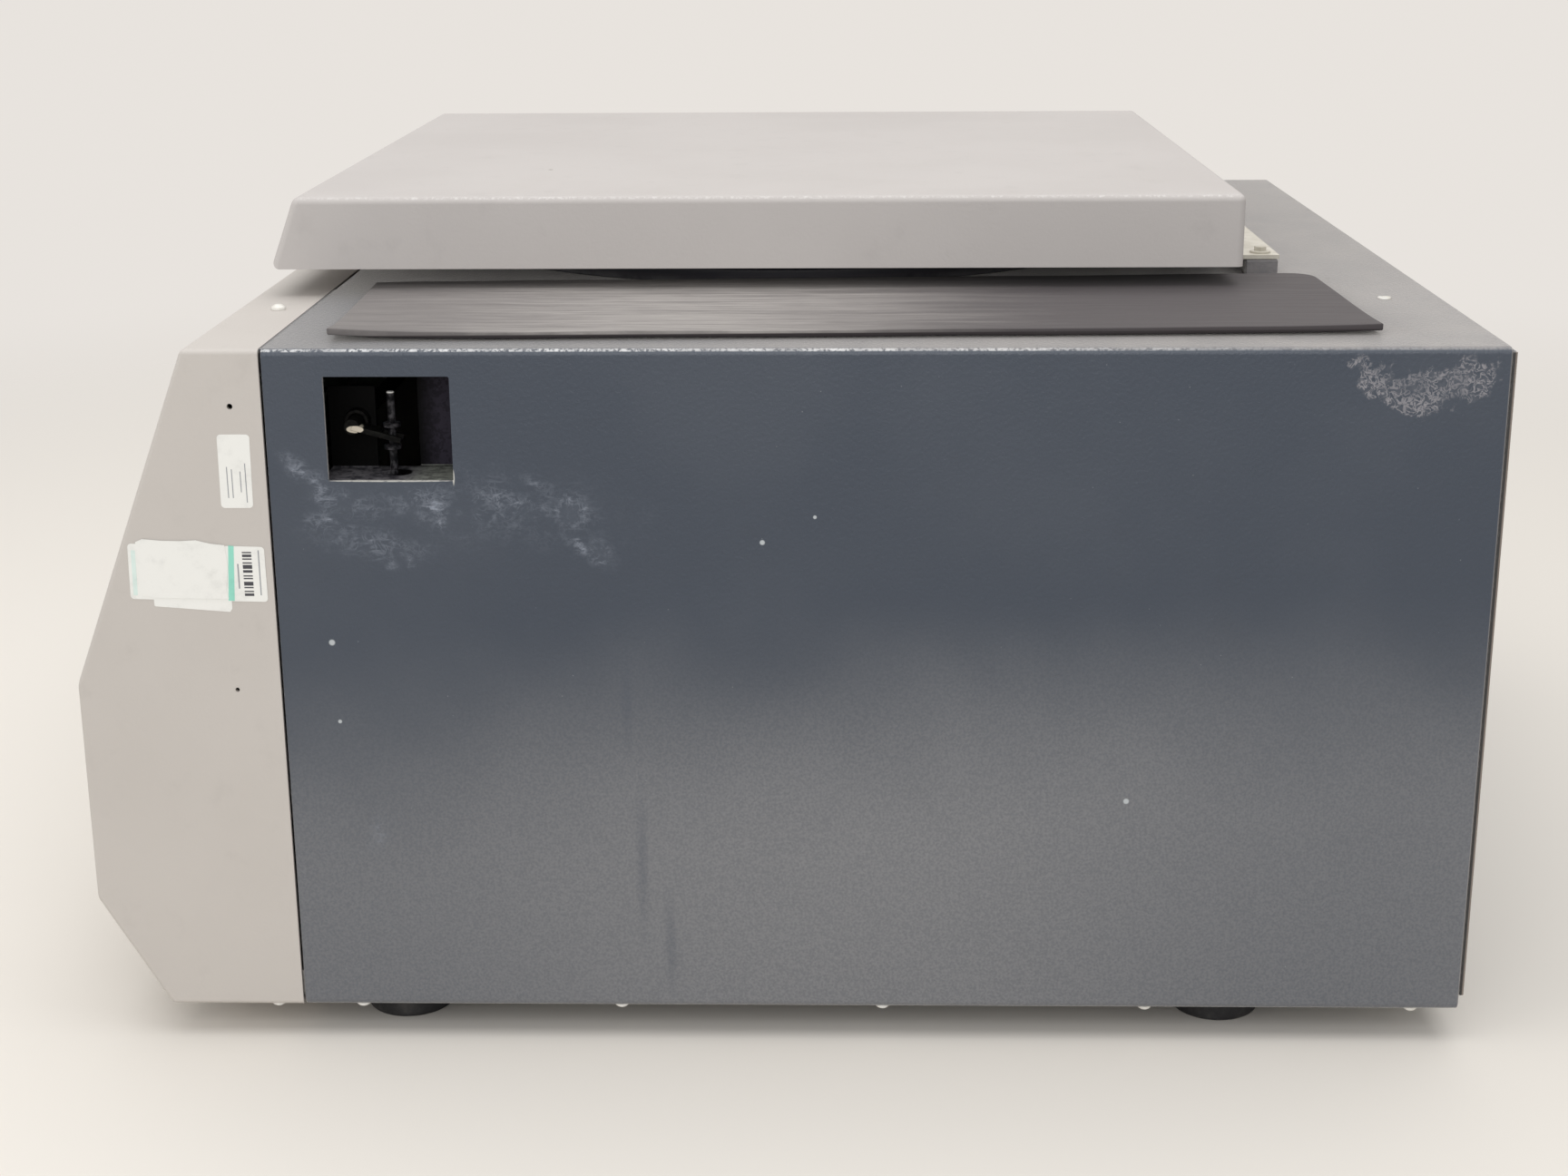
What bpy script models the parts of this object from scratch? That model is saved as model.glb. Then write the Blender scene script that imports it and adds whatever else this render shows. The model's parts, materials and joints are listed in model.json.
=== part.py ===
"""A refrigerated benchtop centrifuge with a hinged lid and a swing-out rotor.

Units are metres. +X is the machine's right side, +Y its rear and +Z up. The origin is on
the surface that the feet stand on, under the middle of the machine. Distances "behind the
seam" run to the rear from the joint between the front shell and the dark cover, and
heights "over the base" start at the lower edge of the cover.
"""

import math

import bmesh
import bpy
from mathutils import Matrix, Vector

# Clearances and sheet metal
GAP = 0.0003
SHEET = 0.002
BEND = 0.003
THROUGH = 0.02
RUNNING = 0.0004

# Body
HALF_WIDTH = 0.2892
FOOT_HEIGHT = 0.016
COVER_HEIGHT = 0.300
COVER_DEPTH = 0.5174
COVER_LIP = 0.018
SHELL_REACH = 0.0904
SEAM = 0.001
PANEL_BACK = 0.5195
PANEL_LOW = 0.007
PANEL_HIGH = 0.298
SEAM_Y = (SHELL_REACH - PANEL_BACK) / 2
# Side view of the front shell, from its top rear corner round to its lower rear corner
SHELL_PROFILE = [(0.0, 0.300), (-0.0336, 0.300), (-0.090, 0.1526)]
SHELL_PROFILE += [(-0.0904, 0.0519), (-0.0608, 0.0), (0.0, 0.0)]
SHELL_BEND = 0.0022
# Two small holes in the right cheek: (behind the seam, over the base, radius)
CHEEK_HOLES = [(-0.0142, 0.2759, 0.00125), (-0.0200, 0.1506, 0.0010)]

# Feet
FOOT_RADIUS = 0.021
FOOT_SIDE = 0.250
FOOT_FRONT = 0.041
FOOT_REAR = 0.415

# Mat on the deck, as its four corners: (across, behind the seam)
MAT_CORNERS = [(0.2729, 0.0249), (0.2610, 0.4703), (0.1190, 0.4670), (0.1390, 0.0205)]
MAT_THICKNESS = 0.003

# Chamber, seen from above, and its heights over the base
CHAMBER_X = -0.0514
CHAMBER_BACK = 0.214
BOWL_RADIUS = 0.155
BOWL_WALL = 0.002
BOWL_FLOOR = 0.126
BOWL_FLANGE = 0.174
COLLAR_RADIUS = 0.178
COLLAR_TOP = 0.309
DECK_HOLE = 0.159
GUARD_INNER = 0.165
GUARD_WALL = 0.006
GUARD_TOP = 0.258
FOAM_RADIUS = 0.162
FOAM_FLOOR = 0.114
FOAM_TOP = 0.290
BOOT_RADIUS = 0.030

# Drive
SHAFT_RADIUS = 0.008
MOTOR_RADIUS = 0.062
MOTOR_LOW = 0.0313
MOTOR_TOP = 0.112
BEARING_RADIUS = 0.014
BEARING_HEIGHT = 0.008
CORE_RADIUS = 0.036
AIR_GAP = 0.001
MOTOR_PLATE_RADIUS = 0.082
MOUNT_CIRCLE = 0.066
MOUNT_RADIUS = 0.011

# Rotor and buckets
PIVOT_HEIGHT = 0.232
PIVOT_RADIUS = 0.068
BUCKET_RADIUS = 0.024
BUCKET_BORE = 0.0205
BUCKET_ABOVE = 0.015
BUCKET_BELOW = 0.074
BUCKET_HEEL = 0.009
BUCKET_FLOOR = 0.004
TRUNNION_RADIUS = 0.004
TRUNNION_BORE = 0.0046
BUCKET_COUNT = 4
HUB_RADIUS = 0.024
YOKE_BAR = 0.014
YOKE_HEIGHT = 0.018

# Lid
LID_LEFT = -0.2628
LID_RIGHT = 0.160
LID_FRONT = -0.0230
LID_TOP_FRONT = -0.0108
LID_REAR = 0.4266
LID_LOW = 0.3132
LID_TOP = 0.3467
LINER_LOW = 0.3134
GASKET_INNER = 0.160
GASKET_OUTER = 0.172
GASKET_LOW = 0.3094

# Lid hinge
HINGE_BACK = 0.433
HINGE_HEIGHT = 0.3113
HINGE_LEFT = -0.207
HINGE_RIGHT = 0.104
KNUCKLE_RADIUS = 0.003
PIN_RADIUS = 0.0014
KNUCKLES = 9
LEAF_FRONT = 0.396
LEAF_REAR = 0.4545
RAIL_FRONT = 0.4385
RAIL_REAR = 0.454
RAIL_TOP = 0.308

# Latch and its release, behind the window in the right side
WINDOW_FRONT = 0.0254
WINDOW_REAR = 0.0784
WINDOW_LOW = 0.2438
WINDOW_HIGH = 0.2885
LATCH_BACK = 0.0337
LATCH_HEIGHT = 0.264
LATCH_SHAFT_RADIUS = 0.0034
LATCH_SHAFT_END = 0.276
ROD_X = 0.272
ROD_BACK = 0.0503
ROD_RADIUS = 0.0017
ROD_TOP = 0.279
ROD_TRAVEL = 0.0046
LEVER_ARM = ROD_BACK - LATCH_BACK
LATCH_TURN = ROD_TRAVEL / LEVER_ARM
STRIKER_FRONT = 0.018
STRIKER_REAR = 0.026

# Control panel, on the sloping face of the shell
FASCIA_WIDTH = 0.360
FASCIA_HEIGHT = 0.104
FASCIA_SHEET = 0.0025
FASCIA_LAP = 0.014
BUTTON_RADIUS = 0.0075
DISPLAY_WIDTH = 0.110
DISPLAY_HEIGHT = 0.034
DISPLAY_X = -0.090
DISPLAY_UP = 0.016
BUTTONS = {
    "start_button": (0.130, -0.028, "green"),
    "stop_button": (0.085, -0.028, "red"),
    "lid_button": (0.040, -0.028, "ivory"),
    "up_button": (-0.068, -0.028, "ivory"),
    "down_button": (-0.112, -0.028, "ivory"),
}

# Rear wall
FAN_X = 0.205
FAN_HEIGHT = 0.110
FAN_SIDE = 0.119
FAN_DEPTH = 0.025
FAN_BORE = 0.056
FAN_BLADES = 7
VENT_SLOTS = 9
VENT_PITCH = 0.0105
VENT_REACH = 0.048
VENT_HEIGHT = 0.005
INLET_X = -0.205
INLET_HEIGHT = 0.060
INLET_SIZE = (0.030, 0.022)
SWITCH_X = -0.155
SWITCH_HEIGHT = 0.060
SWITCH_SIZE = (0.026, 0.030)
ROCKER_TILT = 9

# Cooling, in the right-hand bay
COMPRESSOR_X = 0.208
COMPRESSOR_BACK = 0.230
COMPRESSOR_RADIUS = 0.055
COMPRESSOR_TOP = 0.165
CONDENSER_BACK = 0.435
CONDENSER_DEPTH = 0.028
CONDENSER_FINS = 9

# Drive board, and its parts: (behind the seam, over the base, side, reach off the board)
BOARD_SHEET = 0.0016
BOARD_PARTS = [(0.140, 0.060, 0.026, 0.020), (0.180, 0.060, 0.026, 0.020)]
BOARD_PARTS += [(0.230, 0.100, 0.040, 0.014), (0.150, 0.140, 0.034, 0.010)]

FINISHES = {
    "dark_paint": ((0.075, 0.088, 0.105), 0.45, 0.0),
    "light_paint": ((0.52, 0.47, 0.44), 0.45, 0.0),
    "lid_paint": ((0.56, 0.52, 0.48), 0.42, 0.0),
    "mat_rubber": ((0.13, 0.12, 0.125), 0.8, 0.0),
    "black_rubber": ((0.012, 0.012, 0.014), 0.7, 0.0),
    "collar_rubber": ((0.02, 0.02, 0.03), 0.5, 0.0),
    "zinc": ((0.45, 0.45, 0.44), 0.4, 0.9),
    "stainless": ((0.55, 0.55, 0.54), 0.28, 1.0),
    "steel": ((0.40, 0.40, 0.41), 0.35, 1.0),
    "cast_grey": ((0.16, 0.16, 0.17), 0.6, 0.5),
    "black_enamel": ((0.01, 0.01, 0.01), 0.3, 0.0),
    "aluminium": ((0.62, 0.62, 0.63), 0.35, 1.0),
    "foam": ((0.55, 0.50, 0.38), 0.95, 0.0),
    "ivory": ((0.60, 0.55, 0.42), 0.45, 0.0),
    "black_plastic": ((0.015, 0.015, 0.017), 0.4, 0.0),
    "circuit_board": ((0.02, 0.13, 0.06), 0.5, 0.0),
    "smoked_window": ((0.02, 0.01, 0.01), 0.1, 0.0),
    "green": ((0.03, 0.30, 0.10), 0.4, 0.0),
    "red": ((0.50, 0.03, 0.03), 0.4, 0.0),
    "fascia_film": ((0.30, 0.32, 0.34), 0.5, 0.0),
}


def clear_scene():
    for thing in list(bpy.data.objects):
        bpy.data.objects.remove(thing, do_unlink=True)


def finish_named(name):
    """The named finish, made the first time it is asked for."""
    if name in bpy.data.materials:
        return bpy.data.materials[name]
    colour, roughness, metallic = FINISHES[name]
    finish = bpy.data.materials.new(name)
    finish.use_nodes = True
    shader = finish.node_tree.nodes["Principled BSDF"]
    shader.inputs["Base Color"].default_value = (*colour, 1)
    shader.inputs["Roughness"].default_value = roughness
    shader.inputs["Metallic"].default_value = metallic
    return finish


def back(distance):
    """The Y of a place that far behind the seam."""
    return SEAM_Y + distance


def over(height):
    """The Z of a place that far over the base."""
    return FOOT_HEIGHT + height


def make(name, shape, finish=None):
    """An object from a bmesh. One without a finish is a helper, and stays hidden."""
    mesh = bpy.data.meshes.new(name)
    bmesh.ops.recalc_face_normals(shape, faces=shape.faces)
    if shape.calc_volume(signed=True) < 0:
        bmesh.ops.reverse_faces(shape, faces=shape.faces)
    shape.to_mesh(mesh)
    shape.free()
    mesh.shade_smooth()
    mesh.set_sharp_from_angle(angle=math.radians(35))
    thing = bpy.data.objects.new(name, mesh)
    bpy.context.scene.collection.objects.link(thing)
    if finish is None:
        thing.hide_render = True
        thing.display_type = "WIRE"
    else:
        mesh.materials.append(finish_named(finish))
    return thing


def combine(thing, label, shape, operation):
    helper = make(f"{thing.name}_{label}", shape)
    step = thing.modifiers.new(label, "BOOLEAN")
    step.operation = operation
    step.solver = "EXACT"
    step.object = helper
    return helper


def cut(thing, label, shape):
    return combine(thing, label, shape, "DIFFERENCE")


def join(thing, label, shape):
    return combine(thing, label, shape, "UNION")


def soften(thing, width, segments=3):
    """Rounds the object's sharp edges."""
    step = thing.modifiers.new("soft edges", "BEVEL")
    step.width = width
    step.segments = segments
    step.limit_method = "ANGLE"
    step.angle_limit = math.radians(15)


def put_origin(thing, point):
    """Moves the object's origin and leaves its shape in place."""
    thing.data.transform(Matrix.Translation(-Vector(point)))
    thing.location = point


def place_at(x, y, z, axis="Z"):
    """The matrix that sets a turned shape down with its own axis along X, Y or Z."""
    turns = {"X": (math.pi / 2, "Y"), "Y": (-math.pi / 2, "X"), "Z": (0.0, "Z")}
    angle, about = turns[axis]
    return Matrix.Translation((x, y, z)) @ Matrix.Rotation(angle, 4, about)


def block(low, high, shape=None, place=Matrix.Identity(4)):
    """A box between two corners."""
    shape = shape or bmesh.new()
    low, high = Vector(low), Vector(high)
    fit = place @ Matrix.Translation((low + high) / 2) @ Matrix.Diagonal((*(high - low), 1.0))
    bmesh.ops.create_cube(shape, size=1.0, matrix=fit)
    return shape


def turned(profile, place, steps=32, shape=None):
    """A closed loop of (radius, height) points turned about an axis."""
    shape = shape or bmesh.new()
    rings = []
    for radius, height in profile:
        if radius == 0:
            rings.append([shape.verts.new(place @ Vector((0, 0, height)))] * steps)
            continue
        ring = []
        for step in range(steps):
            angle = 2 * math.pi * step / steps
            point = Vector((radius * math.cos(angle), radius * math.sin(angle), height))
            ring.append(shape.verts.new(place @ point))
        rings.append(ring)
    for first, second in zip(rings, rings[1:] + rings[:1]):
        for step in range(steps):
            after = (step + 1) % steps
            corners = [first[step], first[after], second[after], second[step]]
            corners = list(dict.fromkeys(corners))
            if len(corners) > 2:
                shape.faces.new(corners)
    return shape


def rod(radius, low, high, place, steps=24, shape=None):
    return turned([(0, low), (radius, low), (radius, high), (0, high)], place, steps, shape)


def ring(inner, outer, low, high, place, steps=32, shape=None):
    profile = [(inner, low), (outer, low), (outer, high), (inner, high)]
    return turned(profile, place, steps, shape)


def rounded(corners, radius, steps=3, closed=False):
    """A path with an arc in place of each bend."""
    points = []
    last = len(corners) - 1
    for index, corner in enumerate(corners):
        here = Vector(corner)
        if not closed and index in (0, last):
            points.append(here)
            continue
        towards_last = (Vector(corners[index - 1]) - here).normalized()
        towards_next = (Vector(corners[(index + 1) % len(corners)]) - here).normalized()
        half = towards_last.angle(towards_next) / 2
        middle = here + (towards_last + towards_next).normalized() * radius / math.sin(half)
        start = (here + towards_last * radius / math.tan(half) - middle).normalized()
        end = (here + towards_next * radius / math.tan(half) - middle).normalized()
        for step in range(steps + 1):
            points.append(middle + radius * start.slerp(end, step / steps))
    return points


def set_in(corners, distance):
    """An open path moved to its left by a distance."""
    sides = []
    for first, second in zip(corners, corners[1:]):
        run = (Vector(second) - Vector(first)).normalized()
        sides.append(Vector((-run.y, run.x)))
    moved = [Vector(corners[0]) + sides[0] * distance]
    for corner, before, after in zip(corners[1:-1], sides, sides[1:]):
        moved.append(Vector(corner) + (before + after) * distance / (1 + before.dot(after)))
    moved.append(Vector(corners[-1]) + sides[-1] * distance)
    return moved


def stand_up(point, axis, along):
    """A point of a flat outline, set across an axis at a place along it."""
    across, height = point
    places = {"X": (along, across, height), "Y": (across, along, height), "Z": (across, height, along)}
    return Vector(places[axis])


def folded(corners, axis, low, high, bend=BEND):
    """A bent sheet: its outer corners, with the metal on the left of the path."""
    shape = bmesh.new()
    outer = rounded(corners, bend)
    inner = rounded(set_in(corners, SHEET), bend - SHEET)
    rows = []
    for along in (low, high):
        for path in (outer, inner):
            rows.append([shape.verts.new(stand_up(point, axis, along)) for point in path])
    outer_low, inner_low, outer_high, inner_high = rows
    for index in range(len(outer) - 1):
        after = index + 1
        pairs = [(outer_low, outer_high), (inner_high, inner_low)]
        pairs += [(inner_low, outer_low), (outer_high, inner_high)]
        for one, other in pairs:
            shape.faces.new((one[index], one[after], other[after], other[index]))
    for index in (0, -1):
        shape.faces.new((outer_low[index], inner_low[index], inner_high[index], outer_high[index]))
    return shape


def prism(outline, axis, low, high, shape=None, place=Matrix.Identity(4)):
    """A flat outline pushed along an axis."""
    shape = shape or bmesh.new()
    near = [shape.verts.new(place @ stand_up(point, axis, low)) for point in outline]
    far = [shape.verts.new(place @ stand_up(point, axis, high)) for point in outline]
    shape.faces.new(near)
    shape.faces.new(list(reversed(far)))
    for index in range(len(outline)):
        after = (index + 1) % len(outline)
        shape.faces.new((near[index], near[after], far[after], far[index]))
    return shape


def settle(thing):
    """Turns the object's modifiers into its plain mesh."""
    graph = bpy.context.evaluated_depsgraph_get()
    mesh = bpy.data.meshes.new_from_object(thing.evaluated_get(graph))
    helpers = [step.object for step in thing.modifiers if step.type == "BOOLEAN"]
    thing.modifiers.clear()
    thing.data = mesh
    for helper in helpers:
        bpy.data.objects.remove(helper)


def in_frame(points):
    """Points given behind the seam and over the base, in the machine's Y and Z."""
    return [(back(distance), over(height)) for distance, height in points]


CHAMBER = place_at(CHAMBER_X, back(CHAMBER_BACK), FOOT_HEIGHT)
LATCH_POINT = Vector((CHAMBER_X, back(LATCH_BACK), over(LATCH_HEIGHT)))


def make_base_pan():
    edge = HALF_WIDTH - SHEET - 2 * GAP
    floor = over(SHEET + GAP)
    flange = over(0.016)
    corners = [(-edge, flange), (-edge, floor), (edge, floor), (edge, flange)]
    pan = make("base_pan", folded(corners, "Y", back(-0.054), back(0.515)), "zinc")
    slots = bmesh.new()
    for index in range(6):
        y = back(0.300 + 0.016 * index)
        block((0.160, y, 0), (0.225, y + 0.007, 0.030), slots)
    cut(pan, "intake_slots", slots)


def make_body_cover():
    lip = HALF_WIDTH - COVER_LIP
    corners = [(lip, over(0)), (HALF_WIDTH, over(0)), (HALF_WIDTH, over(COVER_HEIGHT))]
    corners += [(-HALF_WIDTH, over(COVER_HEIGHT)), (-HALF_WIDTH, over(0)), (-lip, over(0))]
    cover = make("body_cover", folded(corners, "Y", back(0), back(COVER_DEPTH)), "dark_paint")
    cut(cover, "chamber_hole", rod(DECK_HOLE, 0.28, 0.32, CHAMBER, 40))
    slot_low = (CHAMBER_X - 0.005, back(0.012), over(0.28))
    slot_high = (CHAMBER_X + 0.005, back(0.031), over(0.32))
    cut(cover, "striker_slot", block(slot_low, slot_high))
    window_low = (HALF_WIDTH - THROUGH, back(WINDOW_FRONT), over(WINDOW_LOW))
    window_high = (HALF_WIDTH + THROUGH, back(WINDOW_REAR), over(WINDOW_HIGH))
    cut(cover, "release_window", block(window_low, window_high))


def make_front_shell():
    outline = list(SHELL_PROFILE)
    outline[0] = (THROUGH, COVER_HEIGHT)
    outline[-1] = (THROUGH, 0.0)
    solid = prism(in_frame(outline), "X", -HALF_WIDTH, HALF_WIDTH)
    shell = make("front_shell", solid, "light_paint")
    soften(shell, SHELL_BEND)
    holes = bmesh.new()
    for distance, height, radius in CHEEK_HOLES:
        place = place_at(HALF_WIDTH, back(distance), over(height), "X")
        rod(radius, -THROUGH, THROUGH, place, 12, holes)
    cut(shell, "cheek_holes", holes)
    inner = set_in([Vector(point) for point in outline], SHEET)
    inner[0].x += THROUGH
    inner[-1].x += THROUGH
    side = HALF_WIDTH - SHEET
    cut(shell, "inside", prism(in_frame(inner), "X", -side, side))
    rear_low = (-1, back(-SEAM), -1)
    cut(shell, "rear_side", block(rear_low, (1, back(0.2), 1)))
    opening = (FASCIA_WIDTH - FASCIA_LAP, FASCIA_HEIGHT - FASCIA_LAP)
    cut(shell, "fascia_hole", on_slope(opening, -THROUGH, THROUGH))


def slope_frame(x=0.0, up=0.0, out=0.0):
    """A place on the sloping face: across, up the slope from its middle, and out of it."""
    top, bottom = Vector(SHELL_PROFILE[1]), Vector(SHELL_PROFILE[2])
    run = (top - bottom).normalized()
    middle = (top + bottom) / 2
    turn = Matrix.Rotation(math.atan2(run.y, run.x), 4, "X")
    return Matrix.Translation((x, back(middle.x), over(middle.y))) @ turn @ Matrix.Translation((0, up, out))


def on_slope(size, low, high, x=0.0, up=0.0, shape=None):
    """A box lying on the sloping face, between two heights out of it."""
    wide, tall = size[0] / 2, size[1] / 2
    return block((-wide, -tall, low), (wide, tall, high), shape, slope_frame(x, up))


def make_rear_panel():
    low = (-HALF_WIDTH + GAP, back(COVER_DEPTH + GAP), over(PANEL_LOW))
    high = (HALF_WIDTH - GAP, back(PANEL_BACK), over(PANEL_HIGH))
    panel = make("rear_panel", block(low, high), "dark_paint")
    slots = bmesh.new()
    for index in range(VENT_SLOTS):
        height = over(FAN_HEIGHT + (index - (VENT_SLOTS - 1) / 2) * VENT_PITCH)
        slot_low = (FAN_X - VENT_REACH, back(PANEL_BACK) - THROUGH, height)
        slot_high = (FAN_X + VENT_REACH, back(PANEL_BACK) + THROUGH, height + VENT_HEIGHT)
        block(slot_low, slot_high, slots)
    cut(panel, "fan_slots", slots)
    holes = bmesh.new()
    inlet = (INLET_X, INLET_HEIGHT, INLET_SIZE)
    switch = (SWITCH_X, SWITCH_HEIGHT, SWITCH_SIZE)
    for x, height, size in (inlet, switch):
        wide, tall = size[0] / 2 + GAP, size[1] / 2 + GAP
        hole_low = (x - wide, back(PANEL_BACK) - THROUGH, over(height) - tall)
        hole_high = (x + wide, back(PANEL_BACK) + THROUGH, over(height) + tall)
        block(hole_low, hole_high, holes)
    cut(panel, "mains_holes", holes)


def make_feet():
    top = FOOT_HEIGHT + SHEET
    profile = [(0, 0), (FOOT_RADIUS - 0.003, 0), (FOOT_RADIUS, 0.003), (FOOT_RADIUS, top - 0.002)]
    profile += [(FOOT_RADIUS - 0.002, top), (0, top)]
    for end, distance in (("front", FOOT_FRONT), ("rear", FOOT_REAR)):
        for hand, x in (("left", -FOOT_SIDE), ("right", FOOT_SIDE)):
            place = place_at(x, back(distance), 0)
            make(f"foot_{end}_{hand}", turned(profile, place, 20), "black_rubber")


def make_side_mat():
    outline = [(x, back(distance)) for x, distance in MAT_CORNERS]
    low = over(COVER_HEIGHT) + GAP
    path = rounded(outline, 0.004, 2, closed=True)
    make("side_mat", prism(path, "Z", low, low + MAT_THICKNESS), "mat_rubber")


def make_chamber():
    outer = BOWL_RADIUS + BOWL_WALL
    floor = BOWL_FLOOR - BOWL_WALL
    rim = COVER_HEIGHT + GAP
    heel = 0.010
    bowl = [(BOOT_RADIUS, BOWL_FLOOR), (BOOT_RADIUS, floor), (outer - heel, floor), (outer, floor + heel)]
    bowl += [(outer, rim), (BOWL_FLANGE, rim), (BOWL_FLANGE, rim + BOWL_WALL)]
    bowl += [(BOWL_RADIUS, rim + BOWL_WALL), (BOWL_RADIUS, floor + heel + BOWL_WALL / 2)]
    bowl += [(BOWL_RADIUS - heel + BOWL_WALL / 2, BOWL_FLOOR)]
    make("chamber_bowl", turned(bowl, CHAMBER, 48), "stainless")
    seat = rim + BOWL_WALL + GAP
    collar = [(outer, seat), (BOWL_FLANGE + GAP, seat), (BOWL_FLANGE + GAP, rim), (COLLAR_RADIUS, rim)]
    collar += [(COLLAR_RADIUS, COLLAR_TOP - 0.003), (COLLAR_RADIUS - 0.003, COLLAR_TOP), (outer, COLLAR_TOP)]
    make("chamber_collar", turned(collar, CHAMBER, 48), "collar_rubber")
    guard_low = 2 * SHEET + 2 * GAP
    guard = ring(GUARD_INNER, GUARD_INNER + GUARD_WALL, guard_low, GUARD_TOP, CHAMBER, 36)
    make("guard_ring", guard, "cast_grey")
    ease = 0.0008
    hub = 0.040
    foam = [(hub, FOAM_FLOOR), (FOAM_RADIUS, FOAM_FLOOR), (FOAM_RADIUS, FOAM_TOP), (outer + ease, FOAM_TOP)]
    foam += [(outer + ease, floor + heel), (outer - heel, floor - ease), (hub, floor - ease)]
    make("chamber_insulation", turned(foam, CHAMBER, 36), "foam")
    boot = [(SHAFT_RADIUS + RUNNING, 0.134), (BOOT_RADIUS - GAP, 0.121), (BOOT_RADIUS - GAP, 0.128)]
    boot += [(0.014, 0.140), (SHAFT_RADIUS + RUNNING, 0.140)]
    make("shaft_boot", turned(boot, CHAMBER, 24), "black_rubber")


def make_motor():
    low, top = MOTOR_LOW, MOTOR_TOP
    bore = BEARING_RADIUS + GAP
    inner = CORE_RADIUS + AIR_GAP
    depth = BEARING_HEIGHT
    case = [(bore, low), (MOTOR_RADIUS, low), (MOTOR_RADIUS, top - 0.006), (MOTOR_RADIUS - 0.006, top)]
    case += [(bore, top), (bore, top - depth), (inner, top - depth)]
    case += [(inner, low + depth), (bore, low + depth)]
    make("motor_housing", turned(case, CHAMBER, 28), "cast_grey")
    for name, height in (("lower_bearing", low + GAP), ("upper_bearing", top - depth + GAP)):
        shape = ring(SHAFT_RADIUS + GAP, BEARING_RADIUS, height, height + depth - 2 * GAP, CHAMBER, 20)
        make(name, shape, "steel")
    plate_top = low - GAP
    plate_low = plate_top - 0.005
    make("motor_plate", rod(MOTOR_PLATE_RADIUS, plate_low, plate_top, CHAMBER, 28), "zinc")
    mount_low = 2 * SHEET + 2 * GAP
    waist = (mount_low + plate_low) / 2
    profile = [(0, mount_low), (MOUNT_RADIUS, mount_low), (MOUNT_RADIUS - 0.003, waist)]
    profile += [(MOUNT_RADIUS, plate_low - GAP), (0, plate_low - GAP)]
    for index in range(3):
        angle = math.radians(90 + 120 * index)
        x = CHAMBER_X + MOUNT_CIRCLE * math.cos(angle)
        y = back(CHAMBER_BACK) + MOUNT_CIRCLE * math.sin(angle)
        shape = turned(profile, place_at(x, y, FOOT_HEIGHT), 12)
        make(f"motor_mount_{index + 1}", shape, "black_rubber")


def make_rotor():
    centre = Vector((CHAMBER_X, back(CHAMBER_BACK), over(PIVOT_HEIGHT)))
    seat = 0.216
    thread = 0.256
    stub = 0.006
    foot = 0.033
    shaft = [(0, foot), (SHAFT_RADIUS, foot), (SHAFT_RADIUS, seat)]
    shaft += [(stub, seat), (stub, thread), (0, thread)]
    pieces = [make("rotor_shaft", turned(shaft, CHAMBER, 16), "steel")]
    core = ring(SHAFT_RADIUS + GAP, CORE_RADIUS, MOTOR_LOW + 0.014, MOTOR_TOP - 0.014, CHAMBER, 24)
    pieces.append(make("motor_core", core, "steel"))
    hub_low, hub_high = seat + GAP, 0.246
    yoke = make("rotor_yoke", ring(stub + GAP, HUB_RADIUS, hub_low, hub_high, CHAMBER, 20), "aluminium")
    shape_yoke(yoke, centre)
    pieces.append(yoke)
    nut_bore = (stub + RUNNING) / math.cos(math.pi / 6)
    nut = [(nut_bore, hub_high + GAP), (0.016, hub_high + GAP), (0.014, 0.260), (nut_bore, 0.260)]
    pieces.append(make("rotor_nut", turned(nut, CHAMBER, 6), "aluminium"))
    for piece in pieces:
        put_origin(piece, centre)
    make_buckets(centre)


def shape_yoke(yoke, centre):
    """Four arms on the diagonals, each with an angled end that holds a trunnion on either side."""
    inner, outer = PIVOT_RADIUS - YOKE_BAR / 2, PIVOT_RADIUS + YOKE_BAR / 2
    near = BUCKET_RADIUS + 0.003
    corner = [(near, inner), (inner, inner), (inner, near), (outer, near), (outer, outer), (near, outer)]
    half = YOKE_HEIGHT / 2
    arms, ends, bores = bmesh.new(), bmesh.new(), bmesh.new()
    for quarter in range(BUCKET_COUNT):
        turn = Matrix.Translation(centre) @ Matrix.Rotation(quarter * math.pi / 2, 4, "Z")
        diagonal = turn @ Matrix.Rotation(math.pi / 4, 4, "Z")
        block((0.014, -0.007, -half), (inner * math.sqrt(2) + 0.004, 0.007, half - 0.002), arms, diagonal)
        prism(corner, "Z", -half, half, ends, turn)
        for side in (-1, 1):
            along = turn @ place_at(PIVOT_RADIUS, side * (near + 0.007), 0, "Y")
            rod(TRUNNION_BORE, -0.010, 0.010, along, 10, bores)
    join(yoke, "arms", arms)
    join(yoke, "ends", ends)
    cut(yoke, "trunnion_bores", bores)


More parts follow.
